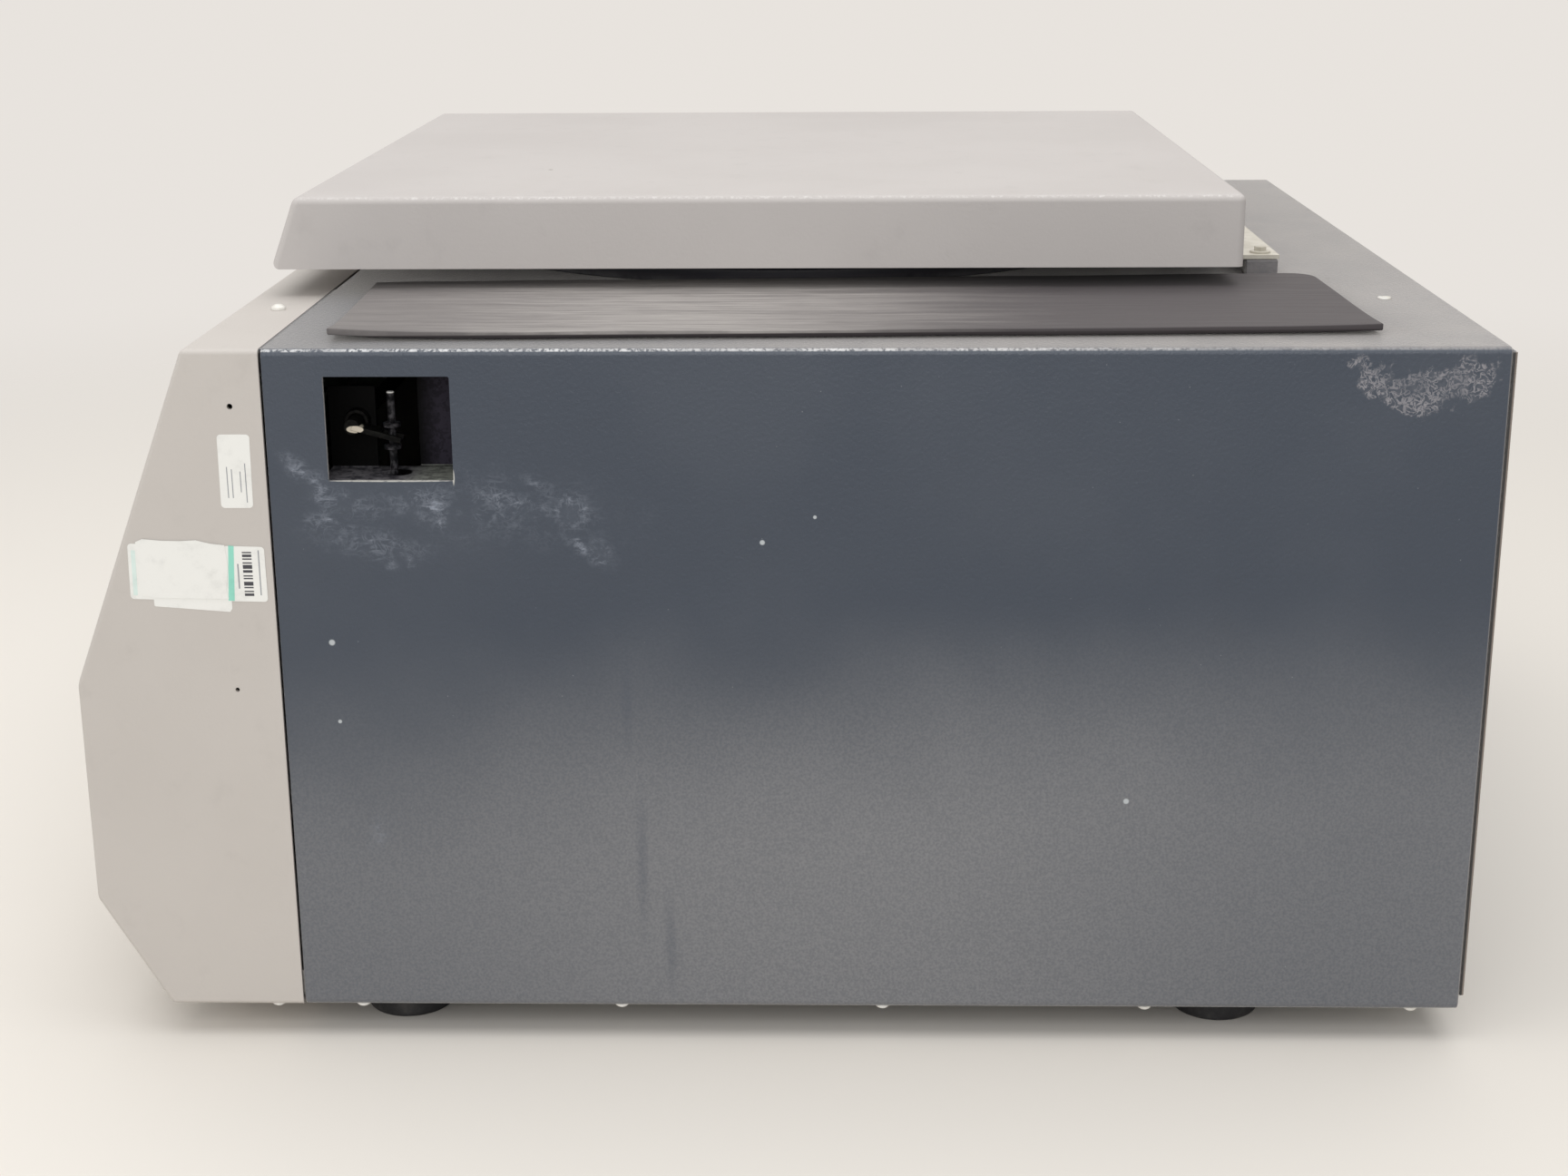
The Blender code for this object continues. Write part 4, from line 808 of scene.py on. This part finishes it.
def turned(profile, place, steps, shape=None):
    """A closed loop of (radius, height) corners, some with a fillet, turned about an axis."""
    shape = shape or bmesh.new()
    rings = []
    for radius, height in filleted([(*point, 0)[:3] for point in profile]):
        if radius < 1e-7:
            rings.append([shape.verts.new(place @ Vector((0, 0, height)))] * steps)
            continue
        angles = [2 * math.pi * step / steps for step in range(steps)]
        ring = [(radius * math.cos(angle), radius * math.sin(angle), height) for angle in angles]
        rings.append([shape.verts.new(place @ Vector(point)) for point in ring])
    for first, second in zip(rings, rings[1:] + rings[:1]):
        skin(shape, first, second)
    return shape


def rod(radius, low, high, place, steps, shape=None, edge=0):
    """A round bar between two heights, its edges filleted where asked."""
    return turned([(0, low), (radius, low, edge), (radius, high, edge), (0, high)], place, steps, shape)


def stand_up(point, axis, along):
    """A point of a flat outline, set across an axis at a place along it."""
    across, height = point
    places = {"X": (along, across, height), "Y": (across, along, height), "Z": (across, height, along)}
    return Vector(places[axis])


def prism(outline, axis, low, high, shape=None, place=HERE):
    """A flat outline pushed along an axis."""
    shape = shape or bmesh.new()
    near, far = (
        [shape.verts.new(place @ stand_up(point, axis, along)) for point in outline]
        for along in (low, high)
    )
    shape.faces.new(near)
    shape.faces.new(far[::-1])
    skin(shape, near, far)
    return shape


def set_in(corners, distance):
    """An open path moved to its left by a distance."""
    corners = [Vector(corner) for corner in corners]
    sides = []
    for first, second in zip(corners, corners[1:]):
        run = (second - first).normalized()
        sides.append(Vector((-run.y, run.x)))
    moved = [corners[0] + sides[0] * distance]
    for corner, before, after in zip(corners[1:-1], sides, sides[1:]):
        moved.append(corner + (before + after) * distance / (1 + before.dot(after)))
    moved.append(corners[-1] + sides[-1] * distance)
    return moved


def folded(corners, axis, low, high):
    """A bent sheet: its outer corners, with the metal on the left of the path."""
    outer = filleted([(*corner, BEND) for corner in corners], 8, closed=False)
    inner = filleted([(*corner, BEND - SHEET) for corner in set_in(corners, SHEET)], 8, closed=False)
    return prism(outer + inner[::-1], axis, low, high)


def refined(node, width=0.0004, segments=2, finish=None):
    """A copy of a CAD node with its edges rounded, in its own finish or another."""
    mesh = frame["nodes"][node].data.copy()
    shape = bmesh.new()
    shape.from_mesh(mesh)
    bmesh.ops.remove_doubles(shape, verts=shape.verts, dist=1e-6)
    bmesh.ops.dissolve_limit(shape, angle_limit=math.radians(0.5), verts=shape.verts, edges=shape.edges)
    shape.to_mesh(mesh)
    shape.free()
    mesh.materials.clear()
    mesh.materials.append(FINISHES[finish or SLOT_OF[node]])
    mesh.shade_smooth()
    thing = new_thing(f"{node}_softened", mesh)
    soften(thing, width, segments)
    finished(thing, BODY_OF[node], node)


def make_cover():
    """The dark cover: one folded sheet, with its window, its chamber hole and the striker's slot."""
    half = [(HALF_WIDTH - COVER_LIP, over(0)), (HALF_WIDTH, over(0)), (HALF_WIDTH, over(COVER_HEIGHT))]
    corners = half + [(-x, z) for x, z in reversed(half)]
    cover = built("cover_sheet", folded(corners, "Y", back(0), back(COVER_DEPTH)))
    soften(cover, 0.0008, 4, 50)
    low, high = DECK_CUT
    cut(cover, rod(DECK_HOLE, low, high, CHAMBER, 96))
    aside, front, rear = STRIKER_SLOT
    cut(cover, block(at(CHAMBER_X - aside, front, low), at(CHAMBER_X + aside, rear, high)))
    front, rear, low, high = WINDOW
    window = in_frame([(front, low), (rear, low), (rear, high), (front, high)])
    window = filleted([(*corner, 0.0008) for corner in window], 3)
    cut(cover, prism(window, "X", HALF_WIDTH - THROUGH, HALF_WIDTH + THROUGH))
    finished(cover, "chassis", "body_cover")


def make_shell():
    """The light front shell, with its two cheek holes and the opening behind the control panel."""
    outline = list(SHELL_PROFILE)
    outline[0] = (THROUGH, COVER_HEIGHT)
    outline[-1] = (THROUGH, 0.0)
    shell = built("shell_sheet", prism(in_frame(outline), "X", -HALF_WIDTH, HALF_WIDTH), "light_paint")
    soften(shell, 0.0022, 6, 15)
    holes = bmesh.new()
    for distance, height, radius in CHEEK_HOLES:
        rod(radius, -THROUGH, THROUGH, place_at(*at(HALF_WIDTH, distance, height), "X"), 24, holes)
    cut(shell, holes)
    inner = set_in(outline, SHEET)
    inner[0].x += THROUGH
    inner[-1].x += THROUGH
    side = HALF_WIDTH - SHEET
    cut(shell, prism(in_frame(inner), "X", -side, side))
    cut(shell, block((-1, back(-SEAM), -1), (1, back(0.2), 1)))
    wide, tall = (size / 2 - 0.007 for size in FASCIA)
    cut(shell, block((-wide, -tall, -THROUGH), (wide, tall, THROUGH), None, slope_frame()))
    finished(shell, "chassis", "front_shell")


def make_seam_floor():
    """The shallow bottom of the seam, beside the lid on either side."""
    shape = bmesh.new()
    height = COVER_HEIGHT - 0.0004
    for side in (-1, 1):
        low, high = sorted((side * SEAM_FLOOR_START, side * (HALF_WIDTH - BEND)))
        block(at(low, -SEAM, height - 0.0006), at(high, 0, height), shape)
    piece("seam_floor", shape, "dark_paint", "chassis")


def make_lid():
    """The lid's folded cover, open below, with the lower front corner of its skirt rounded."""
    outline = [(LID_REAR, LID_LOW), (LID_REAR, LID_TOP), (LID_TOP_FRONT, LID_TOP), (LID_FRONT, LID_LOW)]
    outline = [Vector(point) for point in outline]
    lean = (outline[3] - outline[2]).normalized()
    tall = [outline[0] - Vector((0, THROUGH)), outline[1], outline[2], outline[3] + lean * THROUGH]
    lid = built("lid_shell", prism(in_frame(tall), "X", LID_LEFT, LID_RIGHT), "lid_paint")
    soften(lid, LID_BEND, 8, 15)
    cut(lid, prism(in_frame(set_in(tall, SHEET)), "X", LID_LEFT + SHEET, LID_RIGHT - SHEET))
    cut(lid, block((-1, -1, 0), (1, 1, over(LID_LOW))))
    tip = [(*outline[2], 0), (*outline[3], LID_CORNER), (*outline[0], 0)]
    arc = filleted(tip, 6, closed=False)[1:-1]
    clear = LID_FRONT - 0.01
    waste = arc + [Vector((arc[-1].x, LID_LOW - 0.01)), Vector((clear, LID_LOW - 0.01))]
    waste.append(Vector((clear, arc[0].y)))
    cut(lid, prism(in_frame(waste), "X", -1, 1))
    soften(lid, 0.0004, 2, 50)
    finished(lid, "lid", "lid_cover")


def round_corner(u, v):
    """Draws the mat's far rear corner in to an arc."""
    length, width = MAT_SIZE
    inner = Vector((MAT_CORNER - (1 - u) * length, MAT_CORNER - (1 - v) * width))
    if min(inner) <= 0:
        return u, v
    inner *= max(inner) / inner.length
    return 1 - (MAT_CORNER - inner.x) / length, 1 - (MAT_CORNER - inner.y) / width


def mat_point(u, v):
    """A place on the mat's plan: u along it from the front, v across it from the near edge."""
    u, v = round_corner(u, v)
    near_front, near_rear, far_rear, far_front = (Vector(corner) for corner in MAT_CORNERS)
    near = near_front.lerp(near_rear, u)
    far = far_front.lerp(far_rear, u)
    return near.lerp(far, v)


def mat_lift(u, v):
    """How far the mat stands off the deck: slow waves, and two near corners that curl up."""
    wave = 0.5 + 0.5 * noise.noise(Vector((u * 5.0, v * 1.6, 4.2)))
    ripple = 0.5 + 0.5 * noise.noise(Vector((u * 13.0, v * 3.0, 9.1)))
    lift = 0.0009 * wave + 0.0003 * ripple
    for corner_u, reach, height in MAT_CURLS:
        away = math.hypot((u - corner_u) / reach, v / 0.30)
        lift += height * max(0.0, 1 - away) ** 2
    return lift


def mat_place(u, v, base):
    """A place on the mat, over a base level."""
    plan = mat_point(u, v)
    return plan.x, back(plan.y), base + mat_lift(u, v)


def make_mat():
    """A loose rubber sheet, a little wavy, with its far rear corner rounded."""
    along, across = MAT_STEPS
    low = over(COVER_HEIGHT) + GAP
    shape = bmesh.new()
    rims = []
    for base in (low, low + MAT_THICKNESS):
        rows = [
            [shape.verts.new(mat_place(i / along, j / across, base)) for j in range(across + 1)]
            for i in range(along + 1)
        ]
        for row, after in zip(rows, rows[1:]):
            for j in range(across):
                shape.faces.new((row[j], after[j], after[j + 1], row[j + 1]))
        rim = [row[0] for row in rows] + rows[-1][1:]
        rims.append(rim + [row[-1] for row in rows[-2::-1]] + rows[0][-2:0:-1])
    skin(shape, *rims)
    mat = built("rubber_mat", shape, "mat_rubber")
    soften(mat, 0.0006, 2, 50)
    finished(mat, "chassis", "side_mat")


def make_turned_pieces():
    """The round pieces, turned again with smooth walls and rounded edges."""
    outer, floor, inside = BOWL_RADIUS, 0.124, 0.155
    bowl = [(0.030, 0.126), (0.030, floor), (outer - 0.010, floor), (outer, 0.134), (outer, 0.3003)]
    bowl += [(0.174, 0.3003), (0.174, 0.3023), (inside, 0.3023, 0.0012), (inside, 0.126, 0.009)]
    collar = [(outer, 0.3026), (0.1743, 0.3026), (0.1743, 0.3003), (0.178, 0.3003, 0.0006)]
    collar += [(0.178, 0.309, 0.0028), (outer, 0.309, 0.002)]
    gasket = [(0.160, 0.3131), (0.1615, 0.3094, 0.0014), (0.1705, 0.3094, 0.0014), (0.172, 0.3131)]
    guard = [(0.165, 0.0046), (0.171, 0.0046, 0.001), (0.171, 0.258, 0.001), (0.165, 0.258, 0.001)]
    for name, profile, steps, finish, body, node in (
        ("bowl", bowl, 128, "stainless", "chassis", "chamber_bowl"),
        ("collar", collar, 160, "collar_rubber", "chassis", "chamber_collar"),
        ("gasket", gasket, 128, "black_rubber", "lid", "lid_gasket"),
        ("guard", guard, 96, "cast_grey", "chassis", "guard_ring"),
    ):
        piece(name, turned(profile, CHAMBER, steps), finish, body, node)
    foot = [(0, 0), (FOOT_RADIUS - 0.0008, 0, 0.0022), (FOOT_RADIUS, 0.018, 0.0018), (0, 0.018)]
    for end, distance in FOOT_ROWS.items():
        for hand, x in FOOT_SIDES.items():
            shape = turned(foot, place_at(x, back(distance), 0), 64)
            node = f"foot_{end}_{hand}"
            piece(f"{node}_round", shape, "black_rubber", "chassis", node)


def make_release_rod():
    """The thin upright rod in the window, with its two collars."""
    place = place_at(*at(*ROD_PLACE, 0))
    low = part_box("release_rod")[0]
    foot = low.z - FOOT_HEIGHT
    shape = turned([(0, foot), (0.0016, foot), (0.0016, ROD_TOP, 0.0005), (0, ROD_TOP)], place, 24)
    for height in ROD_COLLARS:
        rod(0.0038, height, height + 0.0018, place, 24, shape, 0.0003)
    # Its finish is near-black painted shade with a painted highlight on its top.
    piece("release_pin", shape, "rod_shaded_highlit", "release", "release_rod")


def make_window_plate():
    """The plate behind the release window, painted lighter at its rear as painted light from the window.
    """
    front, rear, low, high = WINDOW
    shape = block(at(0.2575, front + 0.034, low - 0.0005), at(0.2590, rear + 0.0005, high + 0.006))
    piece("window_plate", shape, "window_bracket_lit_and_shaded", "chassis")


def make_buttons():
    """Push buttons with a dished, rounded top."""
    radius, flange = BUTTON_RADIUS, BUTTON_RADIUS + 0.0015
    profile = [(0, -0.0088), (0.003, -0.0088), (0.003, -0.0019), (flange, -0.0019), (flange, -0.0004)]
    profile += [(radius, -0.0004), (radius, 0.0054, 0.0012), (0.0055, 0.0052, 0.002), (0, 0.0047)]
    for node, x in BUTTONS.items():
        shape = turned(profile, slope_frame(x, BUTTON_ROW), 48)
        piece(f"{node}_cap", shape, SLOT_OF[node], BODY_OF[node], node)


def make_buckets():
    """Four cups with rounded bottoms, rims and trunnions."""
    wall, inside, rim, foot = 0.024, 0.0205, 0.0145, -0.074
    cup = [(0, foot), (wall, foot, 0.009), (wall, rim, 0.0012), (inside, rim, 0.0008)]
    cup += [(inside, foot + 0.004, 0.008), (0, foot + 0.004)]
    for quarter in range(4):
        node = f"bucket_{quarter + 1}"
        angle = quarter * math.pi / 2
        out = BUCKET_REACH * Vector((math.cos(angle), math.sin(angle)))
        centre = at(CHAMBER_X + out.x, CHAMBER_BACK + out.y, BUCKET_HEIGHT)
        place = Matrix.Translation(centre) @ Matrix.Rotation(angle, 4, "Z")
        bucket = built(f"{node}_cup", turned(cup, place, 64), "aluminium")
        pins = bmesh.new()
        for side in (-1, 1):
            rod(0.004, -0.0058, 0.0058, place @ place_at(0, side * 0.0281, 0, "Y"), 32, pins, 0.0005)
        combine(bucket, pins, "UNION")
        finished(bucket, node, node)


def screw_tree():
    """Sets a head on each point, its axis along the point's facing, turned by the point's turn."""
    tree = bpy.data.node_groups.new("fastener rows", "GeometryNodeTree")
    kinds = {"Geometry": "Geometry", "Head": "Object", "Size": "Float", "Finish": "Material"}
    for name, kind in kinds.items():
        tree.interface.new_socket(name, in_out="INPUT", socket_type=f"NodeSocket{kind}")
    tree.interface.new_socket("Geometry", in_out="OUTPUT", socket_type="NodeSocketGeometry")
    nodes = Nodes(tree)
    row, head, size, finish = (nodes.add("NodeGroupInput", output=name) for name in kinds)
    points = nodes.add("GeometryNodeMeshToPoints", row)
    facing, turn = (
        nodes.add("GeometryNodeInputNamedAttribute", name, output="Attribute", data_type=kind)
        for name, kind in (("facing", "FLOAT_VECTOR"), ("turn", "FLOAT"))
    )
    align = nodes.add("FunctionNodeAlignRotationToVector", None, None, facing, axis="Z")
    spin = nodes.add("ShaderNodeCombineXYZ", None, None, turn)
    rotate = nodes.add("FunctionNodeRotateRotation", align, spin, rotation_space="LOCAL")
    head = nodes.add("GeometryNodeObjectInfo", head, output="Geometry")
    placed = nodes.add("GeometryNodeInstanceOnPoints", points, None, head, None, None, rotate, size)
    real = nodes.add("GeometryNodeRealizeInstances", placed)
    coat = nodes.add("GeometryNodeSetMaterial", real, None, finish)
    tree.links.new(coat.socket, tree.nodes.new("NodeGroupOutput").inputs["Geometry"])
    return tree


SCREW_TREE = screw_tree()


def screw_row(name, head, places, facing, finish, size=1.0):
    """One piece for all the screws of a kind on the chassis, each at its place and facing one way."""
    mesh = bpy.data.meshes.new(name)
    mesh.from_pydata(places, [], [])
    mesh.attributes.new("facing", "FLOAT_VECTOR", "POINT")
    mesh.attributes.new("turn", "FLOAT", "POINT")
    for index in range(len(places)):
        mesh.attributes["facing"].data[index].vector = facing
        mesh.attributes["turn"].data[index].value = 0.9 * index + 0.4
    row = new_thing(name, mesh)
    step = row.modifiers.new("fasteners", "NODES")
    step.node_group = SCREW_TREE
    items = SCREW_TREE.interface.items_tree
    sockets = {item.name: item.identifier for item in items if item.in_out == "INPUT"}
    step[sockets["Head"]] = head
    step[sockets["Size"]] = size
    step[sockets["Finish"]] = FINISHES[finish]
    settle(row)
    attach(row, "chassis")


def pan_head():
    """A domed head 6.5 mm across with a cross recess."""
    dome = [(0, 0), (HEAD_RADIUS, 0, 0.0002), (0.00310, 0.0012, 0.0008), (0.0016, 0.00225, 0.0012)]
    head = built("pan_head", turned([*dome, (0, 0.0024)], HERE, 24))
    cross = block((-0.0017, -0.0003, 0.0012), (0.0017, 0.0003, 0.004))
    block((-0.0003, -0.0017, 0.00121), (0.0003, 0.0017, 0.0041), cross)
    return cut(head, cross)


def flat_head():
    """A low head 6.5 mm across with a straight slot."""
    disc = [(0, 0), (HEAD_RADIUS, 0, 0.0001), (0.0031, 0.0008, 0.0004), (0, 0.0009)]
    head = built("flat_head", turned(disc, HERE, 32))
    return cut(head, block((-0.004, -0.0004, 0.0005), (0.004, 0.0004, 0.002)))


def bolt_head():
    """A hexagon head over a plain washer."""
    washer = [(0, 0), (0.0050, 0, 0.0002), (0.0050, 0.0010, 0.0003), (0, 0.0010)]
    hexagon = [(0, 0.0009), (0.0031, 0.0009, 0.0001), (0.0031, 0.0030, 0.0004), (0, 0.0032)]
    return built("bolt_head", turned(hexagon, HERE, 6, turned(washer, HERE, 32)))


def make_fasteners():
    """Screws under the edges, on the deck, on the shell, along the hinge and round the rear panel."""
    pan, flat, bolt = pan_head(), flat_head(), bolt_head()
    down, up, rear = (0, 0, -1), (0, 0, 1), (0, 1, 0)
    sides, edge = (-1, 1), HALF_WIDTH - 0.0052
    under = [at(side * edge, spot, 0) for side in sides for spot in EDGE_SCREWS]
    screw_row("edge_screws", pan, under, down, "screw_white")
    under = [at(side * edge, -0.0132, 0) for side in sides]
    screw_row("shell_edge_screws", pan, under, down, "screw_white")
    domes = [at(side * 0.1923, -0.0143, COVER_HEIGHT) for side in sides]
    screw_row("shell_top_screws", pan, domes, up, "screw_white", 1.05)
    screw_row("deck_screws", flat, [at(0.1698, 0.4911, COVER_HEIGHT)], up, "screw_white")
    screw_row("hinge_bolts", bolt, [at(x, 0.4465, LEAF_TOP) for x in HINGE_BOLTS], up, "ivory")
    screw_row("rear_screws", pan, [at(x, PANEL_BACK, z) for x, z in RIM_SCREWS], rear, "zinc")
    for head in (pan, flat, bolt):
        bpy.data.objects.remove(head)


def label(name, finish, layer, radius, outline):
    """A thin sticker on the right cheek, from corners (behind the seam, over the base)."""
    path = filleted([(*corner, radius) for corner in in_frame(outline)], 4)
    low = HALF_WIDTH + PAPER / 2 + PAPER * layer
    piece(name, prism(path, "X", low, low + PAPER), finish, "chassis")


def bars(name, finish, layer, left, right, low, high, widths=(1,)):
    """A stack of plain bars of uneven height, on a sticker. Every second one is left out."""
    shape = bmesh.new()
    step = (high - low) / sum(widths)
    z = low
    base = HALF_WIDTH + PAPER / 2 + PAPER * layer
    for index, width in enumerate(widths):
        if index % 2 == 0:
            block(at(base, left, z), at(base + PAPER / 2, right, z + width * step), shape)
        z += width * step
    piece(name, shape, finish, "chassis")


def make_labels():
    """Stickers on the cheek, with plain rules and bars where the real ones are printed."""
    label("upper_label", "white_label", 0, 0.0016, [
        (-0.0206, 0.2640), (-0.0209, 0.2321), (-0.0073, 0.2321), (-0.0068, 0.2640)])
    rules = [(-0.0176, 0.2365, 0.2500), (-0.0156, 0.2365, 0.2490), (-0.0120, 0.2390, 0.2480)]
    rules.append((-0.0098, 0.2345, 0.2515))
    for number, (place, low, high) in enumerate(rules, 1):
        bars(f"upper_label_rule_{number}", "grey_print", 1, place, place + 0.0004, low, high)
    label("under_label", "white_label", 0, 0.0006, [
        (-0.0536, 0.2120), (-0.0530, 0.1885), (-0.0205, 0.1860), (-0.0195, 0.1875), (-0.0195, 0.2100)])
    label("lower_label", "white_label", 1, 0.0016, [
        (-0.0625, 0.2165), (-0.0630, 0.1918), (-0.0038, 0.1905), (-0.0040, 0.2150)])
    label("pale_edge", "pale_green", 2, 0.0002, [
        (-0.0612, 0.2135), (-0.0616, 0.1935), (-0.0598, 0.1935), (-0.0594, 0.2135)])
    label("green_band", "green_label", 2, 0.0001, [
        (-0.0192, 0.2156), (-0.0208, 0.1911), (-0.0182, 0.1910), (-0.0169, 0.2154)])
    label("torn_label", "white_label", 3, 0.0004, [
        (-0.0590, 0.2172), (-0.0560, 0.2185), (-0.0480, 0.2178), (-0.0400, 0.2176), (-0.0330, 0.2180),
        (-0.0270, 0.2165), (-0.0208, 0.2158), (-0.0200, 0.2060), (-0.0214, 0.1960), (-0.0205, 0.1918),
        (-0.0400, 0.1921), (-0.0530, 0.1924), (-0.0575, 0.1935)])
    widths = [2, 1, 1, 2, 1, 1, 3, 2, 1, 1, 1, 2, 2, 1, 3, 1, 1, 2, 1, 1, 2, 1, 1]
    bars("label_bars", "dark_print", 2, -0.0136, -0.0096, 0.1932, 0.2128, widths)
    bars("label_rule_left", "grey_print", 2, -0.0160, -0.0154, 0.1965, 0.2075)
    bars("label_rule_right", "grey_print", 2, -0.0068, -0.0063, 0.1935, 0.2135)


def make_fascia():
    """The control panel's film, with its plain printed fields and its screen."""
    refined("control_fascia", 0.0005, 3)
    refined("display_window")
    x, up, wide, tall = DISPLAY
    low, high = FASCIA_TOP, FASCIA_TOP + PRINT
    edge, right, upper = 0.0012, wide / 2 + 0.006, tall / 2 + 0.006
    shape = bmesh.new()
    for near, far in (
        ((-right, -upper), (right, edge - upper)),
        ((-right, upper - edge), (right, upper)),
        ((-right, edge - upper), (edge - right, upper - edge)),
        ((right - edge, edge - upper), (right, upper - edge)),
    ):
        block((*near, low), (*far, high), shape, slope_frame(x, up))
    piece("screen_border", shape, "white_label", "chassis")
    shape = bmesh.new()
    ring = [(0.0098, low), (0.0106, low), (0.0106, high), (0.0098, high)]
    for x in BUTTONS.values():
        turned(ring, slope_frame(x, BUTTON_ROW), 64, shape)
    for node, tip in (("up_button", 1), ("down_button", -1)):
        triangle = [(-0.0025, -0.0013 * tip), (0.0025, -0.0013 * tip), (0.0, 0.0025 * tip)]
        prism(triangle, "Z", low, high, shape, slope_frame(BUTTONS[node], -0.0125))
    piece("button_rings", shape, "dark_print", "chassis")


def make_refined_pieces():
    """CAD pieces whose form is right, with their edges rounded, some more or in another finish."""
    widths = {"rear_panel": 0.0006, "rotor_yoke": 0.0008, "rotor_nut": 0.0006, "hinge_rail": 0.0004}
    # Pieces seen through the window take finishes with painted shade and light.
    others = {"release_bracket": "window_bracket_lit_and_shaded", "latch_shaft": "lever_shaded_end", "shaft_bush": "bush_shaded"}
    for node in (
        "fan_frame", "fan_rotor", "hinge_fixed_leaf", "hinge_rail", "latch_hook", "latch_housing",
        "latch_shaft", "lid_liner", "lid_striker", "mains_inlet", "mains_rocker", "rear_panel",
        "release_bracket", "rotor_nut", "rotor_yoke", "shaft_boot", "shaft_bush", "switch_frame",
    ):
        refined(node, widths.get(node, 0.0003), finish=others.get(node))


def dress_kept_nodes():
    """The CAD nodes that still show get their finish."""
    for node, thing in frame["nodes"].items():
        if not thing.hide_render:
            thing.data.materials.clear()
            thing.data.materials.append(FINISHES[SLOT_OF[node]])


def make_floor():
    """A pale floor that keeps the shadow and thins out into the backdrop with the distance."""
    reach = 4.0
    mesh = bpy.data.meshes.new("floor")
    corners = [(-reach, -reach, 0), (reach, -reach, 0), (reach, reach, 0), (-reach, reach, 0)]
    mesh.from_pydata(corners, [], [(0, 1, 2, 3)])
    floor = new_thing("floor", mesh)
    finish = Finish("floor", FLOOR_COLOUR, 1.0, Specular_IOR_Level=0.0)
    finish.link("Alpha", finish.length(finish.place).fit(0.72, 1.9, 1.0, 0.0))
    mesh.materials.append(finish.material)


def area_light(name, place, aim, size, power):
    """A soft rectangular lamp aimed at a point."""
    light = bpy.data.lights.new(name, "AREA")
    light.shape = "RECTANGLE"
    light.size, light.size_y = size
    light.energy = power
    lamp = new_thing(name, light)
    lamp.location = place
    lamp.rotation_euler = (Vector(aim) - Vector(place)).to_track_quat("-Z", "Y").to_euler()


def make_backdrop():
    """An even surrounding light, and a pale backdrop for the camera, for gloss and for glass."""
    world = bpy.data.worlds.new("surroundings")
    bpy.context.scene.world = world
    world.use_nodes = True
    tree = world.node_tree
    light = tree.nodes["Background"]
    light.inputs["Color"].default_value = (1.0, 0.985, 0.965, 1)
    light.inputs["Strength"].default_value = 0.50
    nodes = Nodes(tree)
    backdrop = nodes.add("ShaderNodeBackground", (*BACKDROP_COLOUR, 1))
    seen, *others = (
        nodes.add("ShaderNodeLightPath", output=f"Is {kind} Ray")
        for kind in ("Camera", "Glossy", "Transmission")
    )
    for other in others:
        seen = seen.most(other)
    pick = nodes.add("ShaderNodeMixShader", seen, Pattern(nodes, light.outputs[0]), backdrop)
    tree.links.new(pick.socket, tree.nodes["World Output"].inputs["Surface"])


def make_stage():
    """The floor, the backdrop, and soft light from above, from the camera's side and from the front."""
    make_floor()
    area_light("overhead", (0.1, 0.0, 2.4), (0, 0, 0.2), (3.0, 3.0), 46)
    area_light("side", (2.4, 0.0, 1.4), (0, 0, 0.2), (2.4, 1.6), 23)
    area_light("front", (0.8, -2.4, 0.9), (0, 0, 0.3), (2.4, 1.4), 8)
    make_backdrop()


def make_camera():
    """The photograph's viewpoint, from the machine's right and a little above."""
    yaw, pitch, roll = CAMERA_YAW, CAMERA_PITCH, CAMERA_ROLL
    ahead = Vector((-math.cos(yaw) * math.cos(pitch), math.sin(yaw) * math.cos(pitch), -math.sin(pitch)))
    level = Vector((math.sin(yaw), math.cos(yaw), 0))
    above = level.cross(ahead)
    right = level * math.cos(roll) + above * math.sin(roll)
    up = above * math.cos(roll) - level * math.sin(roll)
    data = bpy.data.cameras.new("camera")
    data.lens = CAMERA_LENS
    data.sensor_width = 36
    camera = new_thing("camera", data)
    turn = Matrix((right, up, -ahead)).transposed().to_4x4()
    camera.matrix_world = Matrix.Translation(CAMERA_PLACE) @ turn
    bpy.context.scene.camera = camera


make_cover()
make_shell()
make_seam_floor()
make_lid()
make_mat()
make_turned_pieces()
make_release_rod()
make_window_plate()
make_buttons()
make_buckets()
make_fasteners()
make_labels()
make_fascia()
make_refined_pieces()
dress_kept_nodes()
make_stage()
make_camera()
bpy.context.scene.view_settings.view_transform = "Standard"
